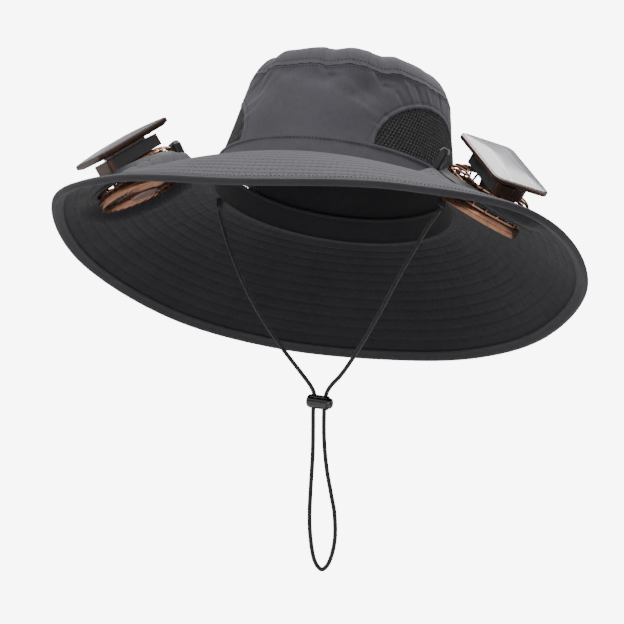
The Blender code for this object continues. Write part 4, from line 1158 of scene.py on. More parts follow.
def vent_cutter(side, look):
    """Block through the crown's wall with the vent's outline."""
    offset, height = vent_edge(49)
    base = np.full(offset.shape, height.min())
    rows = []
    for inset in (CLOTH_WALL + 0.004, -0.004):
        share = (height - GAP) / SIDE_HEIGHT
        foot = (base - GAP) / SIDE_HEIGHT
        top = crown_point(vent_bearing(side) + side * offset, share, WALL_INSET + inset, fine=1.0)
        low = crown_point(vent_bearing(side) + side * offset, foot, WALL_INSET + inset, fine=1.0)
        rows.append((low, top))
    cut = Batch()
    points = np.concatenate([rows[0][0], rows[0][1], rows[1][0], rows[1][1]])
    count = len(offset)
    faces = []
    for i in range(count - 1):
        j = i + 1
        low_in, top_in, low_out, top_out = (np.array((i, j)) + k * count for k in range(4))
        faces.append((low_in[0], low_in[1], top_in[1], top_in[0]))
        faces.append((low_out[0], top_out[0], top_out[1], low_out[1]))
        faces.append((top_in[0], top_in[1], top_out[1], top_out[0]))
        faces.append((low_in[0], low_out[0], low_out[1], low_in[1]))
    cut.add(points, faces)
    tool = cut.make("vent_cutter", look)
    made = bmesh.new()
    made.from_mesh(tool.data)
    bmesh.ops.remove_doubles(made, verts=made.verts, dist=0.00003)
    bmesh.ops.dissolve_degenerate(made, edges=made.edges, dist=0.00001)
    bmesh.ops.recalc_face_normals(made, faces=made.faces)
    made.to_mesh(tool.data)
    made.free()
    return tool


def make_vent_net(name, side, look, shift=0.0, depth=CLOTH_WALL * 0.62, strand=NET_STRAND):
    """Open six-sided net laid on the crown's side behind the cloth."""
    degree = math.radians(1.0) * VENT_MEAN_RADIUS
    span = VENT_HALF_SPAN * degree
    pitch = NET_PITCH
    low = BAND_HEIGHT + GAP - NET_TUCK
    made = bmesh.new()
    verts = {}

    def vert(x, y):
        key = (round(x * 1e6), round(y * 1e6))
        if key not in verts:
            verts[key] = made.verts.new((x, y, 0.0))
        return verts[key]

    size = pitch / math.sqrt(3.0)
    rows = int((VENT_RISE + 0.012) / (size * 1.5)) + 2
    columns = int(2.0 * span / pitch) + 4
    for row in range(rows):
        for column in range(-columns // 2, columns // 2 + 1):
            x = column * pitch + (pitch / 2.0 if row % 2 else 0.0) + shift
            y = low + row * size * 1.5 + shift * 0.6
            part = min(1.0, abs(x) / (span + NET_TUCK))
            arch = (VENT_RISE + NET_OVERLAP) * math.sqrt(1.0 - part * part)
            if y > BAND_HEIGHT + NET_OVERLAP + arch:
                continue
            corners = []
            for k in range(6):
                turn = math.radians(30.0 + 60.0 * k)
                corners.append(vert(x + size * math.cos(turn), y + size * math.sin(turn)))
            made.faces.new(corners)
    bmesh.ops.subdivide_edges(made, edges=made.edges, cuts=1)
    for point in made.verts:
        bearing = vent_bearing(side) + side * point.co.x / degree
        place = crown_point(bearing, (point.co.y - GAP) / SIDE_HEIGHT, WALL_INSET + depth, fine=1.0)
        point.co = Vector(place)
    mesh = bpy.data.meshes.new(name)
    made.to_mesh(mesh)
    made.free()
    mesh.materials.append(look.material)
    body = bpy.data.objects.new(name, mesh)
    bpy.context.scene.collection.objects.link(body)
    wires = body.modifiers.new("strands", "WIREFRAME")
    wires.thickness = strand
    wires.use_even_offset = False
    wires.use_boundary = True
    return body


def tip_surface(bearing, sizes, drop=0.0):
    """Rows of points over the crown's tip, for shares of its outline's size."""
    edge = crown_point(bearing, np.ones(bearing.shape), WALL_INSET, TIP_EDGE_REACH, fine=1.0)
    middle = np.array([CROWN_LEAN_X, CROWN_LEAN_Y, GAP + SIDE_HEIGHT])
    rows = middle + (edge[None] - middle) * sizes[:, None, None]
    rise = TIP_RISE * curve_value(TIP_ROWS, 1, sizes)
    dent = 0.0
    for at_x, at_y, size, spread in TIP_DENTS:
        reach = spread * CROWN_HALF_WIDTH
        x = rows[..., 0] - at_x * CROWN_HALF_WIDTH
        y = rows[..., 1] - at_y * CROWN_HALF_LENGTH
        dent = dent + size * CROWN_HALF_WIDTH * np.exp(-(x * x + y * y) / reach**2)
    fade = smooth((1.0 - sizes) / 0.3)[:, None]
    pucker = TIP_PUCKER * np.sin(np.radians(bearing) * 61.0 + 2.0 * np.sin(np.radians(bearing) * 7.0))
    near_seam = np.exp(-(((1.0 - sizes) / 0.035) ** 2))[:, None]
    rows[..., 2] += GAP + rise[:, None] + dent * fade
    wall = CLOTH_WALL * smooth((1.0 - sizes) / TIP_EDGE_TAPER)[:, None]
    rows[..., 2] += wall if drop == 0.0 else -0.0001
    rows[..., 2] += pucker * near_seam
    return rows


def make_vent_borders(look):
    """Flat folded tape round each vent, on the outside of the cloth."""
    part = Batch()
    for side in (1, -1):
        offset, height = vent_edge(140, VENT_BORDER)
        keep = height > BAND_HEIGHT + 0.0006
        at = vent_bearing(side) + side * offset[keep]
        share = (height[keep] - GAP) / SIDE_HEIGHT
        line = crown_point(at, share, WALL_INSET, fine=1.0)
        part.tube(line, VENT_BORDER, 12, ups=polar(1.0, at, WALL_SLOPE), flatness=0.28)
    body = part.make("vent_borders", look)
    settle(body, None)


def make_crown_tip(look, lining):
    """Upper and lower sheet of the crown's top, joined at the seam."""
    bearing = round_bearings()
    sizes = 1.0 - np.linspace(0.0, 0.995, TIP_ROW_COUNT) ** 1.35
    sheets = [tip_surface(bearing, sizes, drop) for drop in (0.0, CLOTH_WALL)]
    points = np.concatenate([sheets[0][::-1], sheets[1]])
    uv = length_uv(points, False, True)
    looks = [0] * TIP_ROW_COUNT + [1] * TIP_ROW_COUNT
    body = add_grid("crown_tip_cloth", points, [look, lining], uv=uv, row_looks=looks, sharp=60.0)
    mend(body, fill=True)
    settle(body, "crown_tip")


def make_band(name, look, node, base, height, inset, wall, roll=0.0, ease=0.0):
    """Upright band round the foot, with soft edges and a rolled top where asked."""
    bearing = round_bearings()
    section = []
    count = 14
    for i in range(count):
        z = base + (height - base) * i / (count - 1)
        section.append((z, 0.0))
    if roll > 0.0:
        half = roll / 2.0
        for i in range(9):
            turn = math.radians(180.0 - 180.0 * i / 8.0)
            section.append((height - half + half * math.sin(turn), half + half * math.cos(turn)))
        section.append((height - roll, wall))
    for i in range(count):
        z = height - roll - (height - roll - base) * i / (count - 1)
        section.append((z, wall))
    rows = []
    for z, depth in section:
        share = np.full(bearing.shape, max(0.0, (z - GAP) / SIDE_HEIGHT))
        lump = 0.0
        if ease > 0.0:
            part = (z - base) / (height - base)
            hem = float(smooth((z - height + HEM_DEPTH) / 0.0005))
            fold = np.exp(-((turn_gap(bearing, -152.0) / 14.0) ** 2))
            ripple = np.sin(np.radians(bearing) * 23.0 + 2.2 * np.sin(np.radians(bearing) * 5.0))
            twist = fold * np.sin(part * math.tau * 1.2 + bearing * 0.05)
            lump = ease * (twist + 0.25 * ripple * math.sin(part * math.pi))
            lump = (lump + HEM_LIFT * hem) * (1.0 if depth == 0.0 else 0.0)
        place = crown_point(bearing, share, inset + depth - lump, fine=0.0)
        place[..., 2] = z
        rows.append(place)
    points = np.stack(rows)
    uv = length_uv(points, True, True)
    body = add_grid(name, points, look, close_rows=True, uv=uv, flip=True, sharp=60.0)
    settle(body, node)


def stitch_path(batch, points, normals, pitch=STITCH_PITCH, length=STITCH_LENGTH, closed=False):
    """Short threads along a line of points, each sunk a little at both ends."""
    points = np.asarray(points, float)
    normals = np.asarray(normals, float)
    if closed:
        points = np.concatenate([points, points[:1]])
        normals = np.concatenate([normals, normals[:1]])
    steps = np.linalg.norm(np.diff(points, axis=0), axis=1)
    along = np.concatenate([[0.0], np.cumsum(steps)])
    count = int(along[-1] / pitch)
    for i in range(count):
        start = (i + 0.5) * pitch - length / 2.0
        marks = start + length * np.array(STITCH_MARKS)
        place = np.stack([np.interp(marks, along, points[:, k]) for k in range(3)], 1)
        lift = np.stack([np.interp(marks, along, normals[:, k]) for k in range(3)], 1)
        place = place + lift * (STITCH_RADIUS * np.array(STITCH_LIFTS))[:, None]
        batch.tube(place, STITCH_RADIUS, 3)


def surface_normals(points):
    """Normals of a pair of neighbouring rows."""
    along = np.roll(points[0], -1, 0) - np.roll(points[0], 1, 0)
    across = points[1] - points[0]
    normal = np.cross(along, across)
    return normal / np.linalg.norm(normal, axis=1)[:, None]


def make_stitches(thread, dark_thread):
    """Threads of the hatband, the crown's seam, the vents, the brim's quilting and the tape."""
    bearing = round_bearings()
    crown = Batch()
    line = crown_point(bearing, (BAND_HEIGHT - BAND_STITCH_DROP - GAP) / SIDE_HEIGHT, -HEM_LIFT)
    stitch_path(crown, line, polar(1.0, bearing, BAND_SLOPE), closed=True)
    rows = tip_surface(bearing, np.array([TIP_STITCH_SIZE, TIP_STITCH_SIZE - 0.01]))
    stitch_path(crown, rows[0], surface_normals(rows), closed=True)
    seam_line = crown_point(bearing, TIP_STITCH_SIZE, WALL_INSET, fine=1.0)
    stitch_path(crown, seam_line, polar(1.0, bearing, WALL_SLOPE), closed=True)
    for side in (1, -1):
        offset, height = vent_edge(160, VENT_STITCH_OUT)
        keep = height > BAND_HEIGHT + 0.001
        at = vent_bearing(side) + side * offset[keep]
        share = (height[keep] - GAP) / SIDE_HEIGHT
        line = crown_point(at, share, WALL_INSET, fine=1.0)
        stitch_path(crown, line, polar(1.0, at, WALL_SLOPE))
    body = crown.make("crown_stitching", dark_thread)
    settle(body, None)

    brim = Batch()
    half = BRIM_THICKNESS / 2.0
    for k in range(1, BRIM_STITCH_ROWS):
        share = 1.0 - (BINDING_WIDTH + QUILT_PITCH * k) / brim_reach(bearing)
        middle = brim_point(bearing, share)
        clear = share > 0.03
        for fan in FANS:
            clear &= np.linalg.norm(middle - np.array(fan.seat), axis=-1) > SEAT_HOLE_RADIUS + 0.004
        for height in (half, -half):
            normal = brim_normal(bearing, share) * np.sign(height)
            line = middle + normal * (half - QUILT_GROOVE)
            for run in runs_of(clear):
                stitch_path(brim, line[run], normal[run], BRIM_STITCH_PITCH, BRIM_STITCH_LENGTH)
    body = brim.make("brim_stitching", thread)
    settle(body, None)

    tape = Batch()
    outer = half + GAP + BINDING_WALL
    for height in (outer, -outer):
        line = brim_surface(bearing, TAPE_STITCH_INSET, np.full(bearing.shape, height))
        share = 1.0 - TAPE_STITCH_INSET / brim_reach(bearing)
        stitch_path(tape, line, brim_normal(bearing, share) * np.sign(height), closed=True)
    body = tape.make("tape_stitching", dark_thread)
    settle(body, None)


def runs_of(mask):
    """Index runs where a round mask is true."""
    count = len(mask)
    if mask.all():
        return [np.arange(count + 1) % count]
    start = int(np.argmin(mask))
    order = (np.arange(count) + start) % count
    runs = []
    run = []
    for index in order:
        if mask[index]:
            run.append(index)
        elif run:
            runs.append(np.array(run))
            run = []
    if run:
        runs.append(np.array(run))
    return [each for each in runs if len(each) > 3]


# Fans


def spiral(inner, outer, start, lean, z, count=12):
    """Curved spoke from an inner to an outer radius."""
    part = np.linspace(0.0, 1.0, count)
    radius = inner + (outer - inner) * part
    turn = np.radians(start + lean * part**0.8)
    return np.column_stack([radius * np.cos(turn), radius * np.sin(turn), np.full(count, z)])


def circle(radius, z, steps=FAN_STEPS):
    turns = np.arange(steps) * math.tau / steps
    return np.column_stack([radius * np.cos(turns), radius * np.sin(turns), z + 0.0 * turns])


def make_fan_ring(fan, copper):
    """Ribbed ring with the spiral spokes, one middle hoop and the hub's seat."""
    part = Batch()
    wall = RING_RADIUS - RING_WALL
    part.lathe([
        (wall - 0.0010, 0.0003),
        (RING_RADIUS - 0.0008, 0.0),
        (RING_RADIUS - 0.0002, 0.0002),
        (RING_RADIUS, 0.0008),
        (RING_RADIUS, 0.0026),
        (RING_RADIUS - 0.0002, 0.0028),
        (RING_RADIUS - 0.0002, 0.0030),
        (RING_RADIUS, 0.0032),
        (RING_RADIUS, 0.0058),
        (RING_RADIUS - 0.0004, RING_HEIGHT),
        (wall, RING_HEIGHT),
        (wall, GRILLE_THICKNESS),
        (wall - 0.0010, GRILLE_THICKNESS),
    ], FAN_STEPS)
    middle = GRILLE_THICKNESS / 2.0
    for i in range(GRILLE_RIBS):
        line = spiral(HUB_CAP_RADIUS * 0.8, wall, 360.0 * i / GRILLE_RIBS, SPOKE_LEAN, middle)
        part.tube(line, SPOKE_RADIUS, 6, ups=(0.0, 0.0, 1.0), flatness=1.4)
    part.tube(circle((HUB_CAP_RADIUS + wall) / 2.0, middle), GRILLE_HOOP_RADIUS, 6, closed=True)
    part.lathe([
        (HUB_CAP_RADIUS * 0.72, 0.0),
        (HUB_CAP_RADIUS * 0.98, 0.0),
        (HUB_CAP_RADIUS * 0.98, GRILLE_THICKNESS),
        (HUB_CAP_RADIUS * 0.72, GRILLE_THICKNESS),
    ], 48)
    body = part.make("fan_ring_grille_" + fan.name, copper, fan.ring)
    settle(body, "fan_ring_" + fan.name)


def make_hub_cap(fan, rose):
    """Flat cap under the spokes; radii are shares of the cap's own."""
    part = Batch()
    rings = []
    low = -GAP - HUB_CAP_THICKNESS
    for radius, z in (
        (0.04, low + 0.00025), (0.5, low + 0.00015), (0.80, low), (0.93, low + 0.0001),
        (1.0, low + 0.0005), (1.0, -GAP), (0.90, -GAP),
    ):
        rings.append(circle(radius * HUB_CAP_RADIUS, z, 48))
    part.loft(rings)
    body = part.make("fan_hub_cap_" + fan.name, rose, fan.ring)
    settle(body, "hub_cap_" + fan.name)


def cage_line(fan, bearing, inset, twist, count=16):
    """Line of one rib from the ring to the box, in the ring's axes."""
    floor = RING_HEIGHT + GAP
    radius = CAGE_RADIUS - inset
    top_z = fan.under_box(CAGE_TOP_RADIUS - inset, bearing + twist, GAP) - inset * 0.6
    limit = fan.under_box(radius, bearing, GAP + CAGE_WALL * 2.0)
    shoulder_z = min(floor + (top_z - floor) * CAGE_SHOULDER_SHARE, limit)
    line = []
    for i in range(count):
        t = i / (count - 1)
        if t < 0.5:
            part = t / 0.5
            r = radius
            z = floor + (shoulder_z - floor) * part
        else:
            part = (t - 0.5) / 0.5
            turn = part * math.pi / 2.0
            r = CAGE_TOP_RADIUS - inset + (radius - CAGE_TOP_RADIUS + inset) * math.cos(turn)
            z = shoulder_z + (top_z - shoulder_z) * math.sin(turn)
            room = fan.under_box(r, bearing + twist * t, GAP + CAGE_WALL * 0.6)
            z = min(z, room)
        at = math.radians(bearing + twist * t**1.5)
        line.append((r * math.cos(at), r * math.sin(at), z))
    return np.array(line)


def make_cage(fan, copper):
    """Thin ribs, one hoop, a foot ring and a ring under the box."""
    part = Batch()
    half = CAGE_WALL / 2.0
    twist = RIB_TWIST * fan.side
    hoop = []
    for i in range(CAGE_RIBS):
        line = cage_line(fan, 360.0 * (i + 0.5) / CAGE_RIBS, half, twist)
        outward = line.copy()
        outward[:, 2] = 0.012 * np.linspace(0.0, 2.0, len(line)) ** 2
        part.tube(line, RIB_RADIUS, 8, ups=outward, flatness=1.4)
        hoop.append(line[len(line) // 2 + 1])
    part.tube(np.array(hoop), CAGE_HOOP_RADIUS, 8, closed=True)
    low = RING_HEIGHT + GAP
    part.lathe([
        (CAGE_RADIUS - CAGE_WALL, low),
        (CAGE_RADIUS, low),
        (CAGE_RADIUS, low + 0.0010),
        (CAGE_RADIUS - CAGE_WALL, low + 0.0010),
    ], FAN_STEPS)
    turns = round_bearings(FAN_STEPS)
    top = polar(CAGE_TOP_RADIUS - half, turns, fan.under_box(CAGE_TOP_RADIUS - half, turns, GAP + 0.0008))
    part.tube(top, CAGE_TOP_RING_RADIUS, 8, closed=True)
    body = part.make("rib_cage_copper_" + fan.name, copper, fan.ring)
    settle(body, "rib_cage_" + fan.name)


def make_air_frame(fan, black):
    """Dark band past the collar, posts above it and a hoop under the box."""
    part = Batch()
    low = SEAT_HEIGHT - LINER_BELOW_SEAT
    high = SEAT_HEIGHT + LINER_ABOVE_SEAT + 0.0002
    part.lathe([
        (LINER_RADIUS - LINER_WALL, low),
        (LINER_RADIUS, low),
        (LINER_RADIUS, high),
        (LINER_RADIUS - LINER_WALL, high),
    ], FAN_STEPS)
    turns = round_bearings(FAN_STEPS)
    radius = LINER_RADIUS - POST_TOP_INSET
    hoop_low = polar(radius, turns, fan.under_box(radius, turns, GAP + 0.0052))
    hoop_high = polar(radius, turns, fan.under_box(radius, turns, GAP + 0.0024))
    hoop_low[:, 2] = np.maximum(hoop_low[:, 2], high - 0.0004)
    thick = np.array([np.cos(np.radians(turns)), np.sin(np.radians(turns)), 0.0 * turns]).T * LINER_WALL
    rings = np.stack([hoop_low, hoop_high, hoop_high - thick, hoop_low - thick], 1)
    part.add(rings, grid_faces(FAN_STEPS, 4, True, True)[0].tolist())
    for i in range(CAGE_RIBS):
        bearing = 360.0 * (i + 0.5) / CAGE_RIBS
        at = math.radians(bearing)
        top_z = float(fan.under_box(radius, bearing, GAP + 0.0030))
        foot = polar(LINER_RADIUS - 0.0005, bearing, high - 0.0003)
        top = polar(radius - 0.0005, bearing, max(top_z, high + 0.001))
        out = (math.cos(at), math.sin(at), 0.0)
        part.tube(np.linspace(foot, top, 4), POST_RADIUS, 6, ups=out, flatness=0.6)
    body = part.make("air_frame_black_" + fan.name, black, fan.ring)
    settle(body, "air_frame_" + fan.name)


def make_rotor(fan, look):
    """Hub with twisted blades that ride on the fan's own axis."""
    part = Batch()
    base = ROTOR_BASE
    top = ROTOR_BASE + ROTOR_HEIGHT
    part.lathe([
        (0.0022, base),
        (ROTOR_HUB_RADIUS - 0.0008, base),
        (ROTOR_HUB_RADIUS, base + 0.0008),
        (ROTOR_HUB_RADIUS, top),
        (0.0022, top),
    ], 48)
    limit = ROTOR_HEIGHT / 2.0 - 0.0002
    for i in range(BLADE_COUNT):
        rings = []
        for step in range(9):
            t = step / 8.0
            radius = ROTOR_HUB_RADIUS - 0.0006 + (ROTOR_RADIUS - ROTOR_HUB_RADIUS + 0.0004) * t
            swing = 360.0 * i / BLADE_COUNT + BLADE_SWING * t
            pitch = math.radians(BLADE_ROOT_PITCH - BLADE_UNTWIST * t)
            chord = 0.0050 + 0.0034 * math.sin(t * math.pi * 0.7)
            ring = []
            for along, across in BLADE_SECTION:
                x = along * chord * math.cos(pitch) - across * math.sin(pitch)
                z = along * chord * math.sin(pitch) + across * math.cos(pitch)
                z = (base + top) / 2.0 + max(-limit, min(limit, z))
                at = math.radians(swing) + x / radius
                ring.append((radius * math.cos(at), radius * math.sin(at), z))
            rings.append(ring)
        part.loft(rings)
    body = part.make("fan_rotor_" + fan.name, look, fan.ring)
    settle(body, "rotor_" + fan.name, carrier="rotor_" + fan.name)


def make_collar(fan, look):
    """Soft collar with a flange on each face of the brim and a raised lip."""
    part = Batch()
    inner = CAGE_RADIUS + COLLAR_CLEARANCE
    tube = inner + COLLAR_WALL
    outer = SEAT_HOLE_RADIUS + COLLAR_FLANGE
    half = BRIM_THICKNESS / 2.0 + GAP
    top = half + COLLAR_FLANGE_WALL
    part.lathe([
        (inner, -top + 0.0003),
        (inner + 0.0003, -top),
        (outer - 0.0004, -top),
        (outer, -top + 0.0004),
        (outer - 0.0002, -half),
        (tube, -half),
        (tube, half),
        (outer - 0.0002, half),
        (outer, half + 0.0003),
        (outer - 0.0006, top - 0.0001),
        (tube + 0.0006, top + 0.0008),
        (tube, top + COLLAR_LIP - 0.0004),
        (tube - 0.0004, top + COLLAR_LIP),
        (inner + 0.0003, top + COLLAR_LIP),
        (inner, top + COLLAR_LIP - 0.0003),
    ], FAN_STEPS)
    body = part.make("fan_collar_" + fan.name, look, fan.ring @ Matrix.Translation((0.0, 0.0, SEAT_HEIGHT)))
    settle(body, "collar_" + fan.name)


def make_panel(fan, glass, tray_look, steel):
    """Tray with its neck, crowned glass and four small screws."""
    rim = rounded_box(PANEL_HALF_LENGTH, PANEL_HALF_DEPTH, PANEL_CORNER)
    taper = PANEL_TRAY_DEPTH * 1.1
    under = rounded_box(PANEL_HALF_LENGTH - taper, PANEL_HALF_DEPTH - taper, PANEL_CORNER - 0.002)
    neck = rounded_box(NECK_HALF_LENGTH, NECK_HALF_DEPTH, 0.002)
    rim_in = rounded_box(PANEL_HALF_LENGTH - 0.0004, PANEL_HALF_DEPTH - 0.0004, PANEL_CORNER - 0.0004)
    lip = rounded_box(PANEL_HALF_LENGTH - 0.0010, PANEL_HALF_DEPTH - 0.0010, PANEL_CORNER - 0.0010)
    top = -PANEL_GLASS_EDGE - GAP
    tray = Batch()
    tray.loft([
        at_height(neck, -BOX_BELOW_PANEL + GAP),
        at_height(neck, top - PANEL_TRAY_DEPTH - 0.0002),
        at_height(under, top - PANEL_TRAY_DEPTH),
        at_height(rim_in, top - PANEL_TRAY_RIM - 0.0003),
        at_height(rim, top - PANEL_TRAY_RIM + 0.0002),
        at_height(rim, top + PANEL_GLASS_EDGE * 0.7),
        at_height(lip, top + PANEL_GLASS_EDGE),
        at_height(lip, top + 0.0002),
    ])
    body = tray.make("panel_tray_shell_" + fan.name, tray_look, fan.head)
    settle(body, "panel_tray_" + fan.name)

    points = []
    rows = 15
    for i in range(rows):
        size = 1.0 - i / (rows - 1) * 0.97
        outline = rounded_box(
            (PANEL_HALF_LENGTH - PANEL_GLASS_INSET) * size,
            (PANEL_HALF_DEPTH - PANEL_GLASS_INSET) * size,
            (PANEL_CORNER - PANEL_GLASS_INSET) * size,
        )
        crown = PANEL_CROWN * (1.0 - (1.0 - i / (rows - 1)) ** 2.2)
        points.append(at_height(outline, crown))
    outline = points[0][:, :2]
    points = [at_height(outline, -PANEL_GLASS_EDGE), at_height(outline, -0.0002)] + points
    points = np.array(points)
    wrapped = np.concatenate([points, points[:, :1]], 1)
    panel = add_grid("solar_glass_" + fan.name, points, glass, uv=wrapped[..., :2], sharp=40.0)
    made = bmesh.new()
    made.from_mesh(panel.data)
    layer = made.loops.layers.uv.active
    filled = bmesh.ops.holes_fill(made, edges=[e for e in made.edges if e.is_boundary], sides=0)
    for face in filled["faces"]:
        for loop in face.loops:
            loop[layer].uv = loop.vert.co.xy
    bmesh.ops.recalc_face_normals(made, faces=made.faces)
    made.to_mesh(panel.data)
    made.free()
    panel.data.transform(fan.head)
    settle(panel, "solar_panel_" + fan.name)

    screws = Batch()
    for x in (-SCREW_X, SCREW_X):
        for y in (-SCREW_Y, SCREW_Y):
            face = at_height(rounded_box(SCREW_RADIUS, SCREW_RADIUS, SCREW_CORNER, 5), 0.0)
            z = top - PANEL_TRAY_DEPTH + 0.0005
            screws.loft([face + np.array([x, y, level]) for level in (z - 0.0010, z)])
    body = screws.make("panel_screws_" + fan.name, steel, fan.head)
    settle(body, None)


def finish_nodes(looks):
    """Soften the edges of solids that stay, and give them their finish."""
    for fan in FANS:
        for node, look, edge in (
            ("battery_box_", "box_grey", 0.0003),
            ("box_cap_outer_", "box_brown", 0.0003),
            ("box_cap_inner_", "box_brown", 0.0003),
            ("clip_", "black", 0.0004),
            ("motor_", "black", 0.0002),
        ):
            dress(node + fan.name, looks[look], edge)
    for side in ("left", "right"):
        dress("cord_anchor_" + side, looks["under"], 0.0006)


def dress(node, look, edge):
    """Give a solid its material and soft edges."""
    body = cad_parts[node]
    body.data.materials.clear()
    body.data.materials.append(look.material)
    soften = body.modifiers.new("soften", "BEVEL")
    soften.width = edge
    soften.segments = 2
    soften.limit_method = "ANGLE"
    soften.angle_limit = math.radians(40.0)
    soften.harden_normals = False


# Chin cord


def curve_point(route, place):
    """Point on a smooth curve through the rows of a route."""
    i = min(int(place), len(route) - 2)
    part = place - i
    a, b, c, d = (np.array(route[min(max(i + k, 0), len(route) - 1)]) for k in (-1, 0, 1, 2))
    curve = 2.0 * b + (c - a) * part + (2.0 * a - 5.0 * b + 4.0 * c - d) * part**2
    return 0.5 * (curve + (3.0 * b - a - 3.0 * c + d) * part**3)


def make_cord(look):
    """Whole braided cord, one tube along its route."""
    rows = len(CORD_ROUTE) - 1
    path = np.array([curve_point(CORD_ROUTE, rows * i / (CORD_STEPS - 1)) for i in range(CORD_STEPS)])
    rings = tube_points(path, CORD_DIAMETER / 2.0, CORD_SIDES)
    along = np.concatenate([[0.0], np.cumsum(np.linalg.norm(np.diff(path, axis=0), axis=1))])
    around = np.arange(CORD_SIDES + 1) / CORD_SIDES * math.pi * CORD_DIAMETER
    uv = np.stack(np.meshgrid(around, along, indexing="xy"), -1)
    cord = add_grid("cord_braid", rings, look, uv=uv, sharp=180.0)
    mend(cord, fill=True)
    settle(cord, "chin_cord")


def lock_matrix():
    """Place and slope of the lock on the cord."""
    tilt = Matrix.Rotation(math.radians(-LOCK_TILT), 4, "Y")
    lean = Matrix.Rotation(math.radians(-LOCK_LEAN), 4, "X")
    return Matrix.Translation(LOCK_CENTRE) @ tilt @ lean


def make_lock(look):
    """Oval barrel and round button with their cord holes."""
    upright = Matrix.Rotation(math.radians(90.0), 4, "Y")
    place = lock_matrix()
    bore = PLUNGER_RADIUS + GAP
    floor = PLUNGER_START - PLUNGER_TRAVEL - GAP
    left = -LOCK_HALF_LENGTH
    profile = [(left, 0.0001), (left + 0.0002, LOCK_RADIUS * 0.40), (left + 0.0006, LOCK_RADIUS * 0.66),
               (left + 0.0013, LOCK_RADIUS * 0.86), (left + 0.0024, LOCK_RADIUS * 0.97),
               (left * 0.55, LOCK_RADIUS), (LOCK_BARREL_END - 0.0012, LOCK_RADIUS),
               (LOCK_BARREL_END - 0.0009, LOCK_RADIUS * 1.02), (LOCK_BARREL_END - 0.0003, LOCK_RADIUS * 1.0),
               (LOCK_BARREL_END, LOCK_RADIUS * 0.94), (LOCK_BARREL_END, bore), (floor, bore), (floor, 0.0001)]
    barrel = Batch()
    barrel.loft([circle(radius, along, 48) for along, radius in profile])
    body = barrel.make("lock_barrel_gloss", look, place @ upright, sharp=35.0)
    half = LOCK_HOLE_SPACING / 2.0
    for x in (LOCK_HOLE_OFFSET - half, LOCK_HOLE_OFFSET + half):
        hole = Batch()
        ring = circle(LOCK_HOLE_RADIUS, 0.0, 32) + np.array([x, 0.0, 0.0])
        hole.loft([ring - np.array([0.0, 0.0, 0.007]), ring + np.array([0.0, 0.0, 0.007])])
        cut_with(body, hole.make("hole_cutter", look, place))
    soften = body.modifiers.new("soften", "BEVEL")
    soften.width = 0.00025
    soften.segments = 2
    soften.angle_limit = math.radians(50.0)
    settle(body, "lock_barrel")

    plunger = Batch()
    end = LOCK_HALF_LENGTH
    profile = [(PLUNGER_START, 0.0001), (PLUNGER_START, PLUNGER_RADIUS), (end - 0.0016, PLUNGER_RADIUS),
               (end - 0.0008, PLUNGER_RADIUS * 0.93), (end - 0.0002, PLUNGER_RADIUS * 0.72),
               (end, PLUNGER_RADIUS * 0.40), (end, 0.0001)]
    plunger.loft([circle(radius, along, 48) for along, radius in profile])
    button = plunger.make("lock_plunger_gloss", look, place @ upright, sharp=35.0)
    start = PLUNGER_START + PLUNGER_WEB
    stop = LOCK_HOLE_OFFSET + half + PLUNGER_TRAVEL + LOCK_HOLE_RADIUS
    slot = rounded_box((stop - start) / 2.0, LOCK_HOLE_RADIUS, LOCK_HOLE_RADIUS * 0.9)
    slot[:, 0] += (start + stop) / 2.0
    cut = Batch()
    cut.loft([at_height(slot, -LOCK_RADIUS), at_height(slot, LOCK_RADIUS)])
    cut_with(button, cut.make("slot_cutter", look, place))
    settle(button, "lock_plunger", carrier="lock_plunger")
    return [body, button]


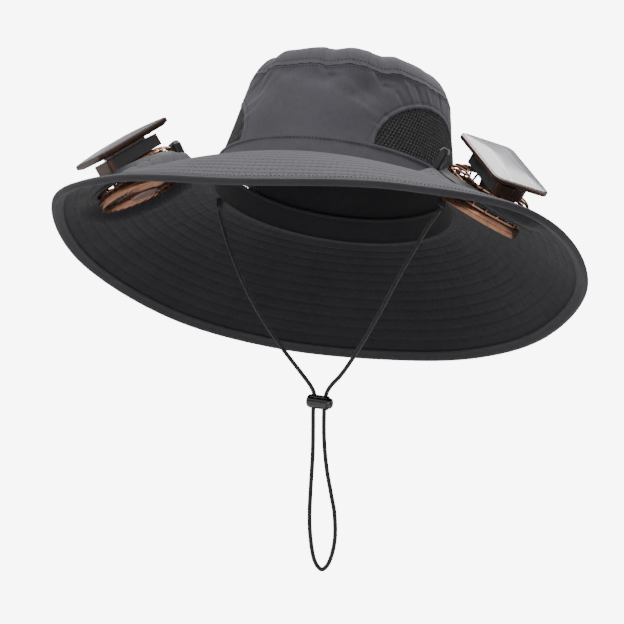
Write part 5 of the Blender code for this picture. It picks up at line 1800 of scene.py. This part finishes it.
def main():
    make_camera()
    gloss = plastic_look("lock_gloss", (0.006, 0.006, 0.007), 0.18, coat=0.8)
    lock_pieces = make_lock(gloss)
    make_cord(cord_look())
    make_studio()

    grey = cloth_look("crown_cloth_grey", CLOTH_GREY, CLOTH_LIGHT, wrinkle=0.0006)
    brim_grey = cloth_look("brim_cloth_grey", CLOTH_GREY, CLOTH_LIGHT, wrinkle=0.0005)
    tape = cloth_look("tape_grey", TAPE_GREY, TAPE_LIGHT, wrinkle=0.0003)
    under = cloth_look("underside_charcoal", UNDERSIDE, UNDERSIDE_LIGHT, 0.85, wrinkle=0.0009)
    lining = cloth_look("lining_charcoal", UNDERSIDE, UNDERSIDE_LIGHT, 0.85)
    thread = cloth_look("thread_dark", (0.030, 0.030, 0.033), (0.045, 0.045, 0.050), 0.7)
    crown_thread = cloth_look("thread_grey", (0.040, 0.040, 0.044), (0.070, 0.070, 0.076), 0.6)
    make_brim(brim_grey, under)
    make_binding(tape)
    make_crown_side(grey, lining)
    make_crown_tip(grey, lining)
    make_vent_borders(grey)
    make_band("hatband_cloth", grey, "hatband", GAP, BAND_HEIGHT, 0.0, BAND_WALL, ease=0.0006)
    make_band("sweatband_cloth", lining, "sweatband", -BRIM_THICKNESS, SWEATBAND_HEIGHT,
              LINER_INSET, SWEATBAND_WALL, roll=SWEATBAND_ROLL)
    net = net_look()
    for name, side in (("left", 1), ("right", -1)):
        body = make_vent_net("vent_net_" + name, side, net)
        settle(body, "vent_mesh_" + name)
        back = make_vent_net("vent_net_back_" + name, side, net, NET_PITCH / 2.0, CLOTH_WALL * 1.25,
                             NET_STRAND * 0.8)
        settle(back, None)
    make_stitches(thread, crown_thread)

    copper = metal_look("copper_satin", COPPER, COPPER_DARK)
    rose = metal_look("cap_rose_satin", CAP_ROSE, (0.22, 0.14, 0.12), 0.45)
    black = plastic_look("moulded_black_satin", MOULDED_BLACK, 0.38)
    rubber = plastic_look("collar_rubber_matt", (0.022, 0.022, 0.024), 0.62)
    box_grey = plastic_look("box_grey_satin", BOX_GREY, 0.42, 1.25)
    brown = plastic_look("box_brown_metallic", BOX_BROWN, 0.32, 1.4, coat=0.4)
    brown.set(brown.shader, "Metallic", 0.55)
    rotor = plastic_look("rotor_grey_satin", ROTOR_GREY, 0.35, 1.2)
    glass = glass_look()
    steel = metal_look("screw_bronze", (0.42, 0.30, 0.20), (0.25, 0.17, 0.11), 0.3)
    for fan in FANS:
        make_fan_ring(fan, copper)
        make_hub_cap(fan, rose)
        make_cage(fan, copper)
        make_air_frame(fan, black)
        make_rotor(fan, rotor)
        make_collar(fan, rubber)
        make_panel(fan, glass, brown, steel)
    finish_nodes({"box_grey": box_grey, "box_brown": brown, "black": black, "under": lining})


main()
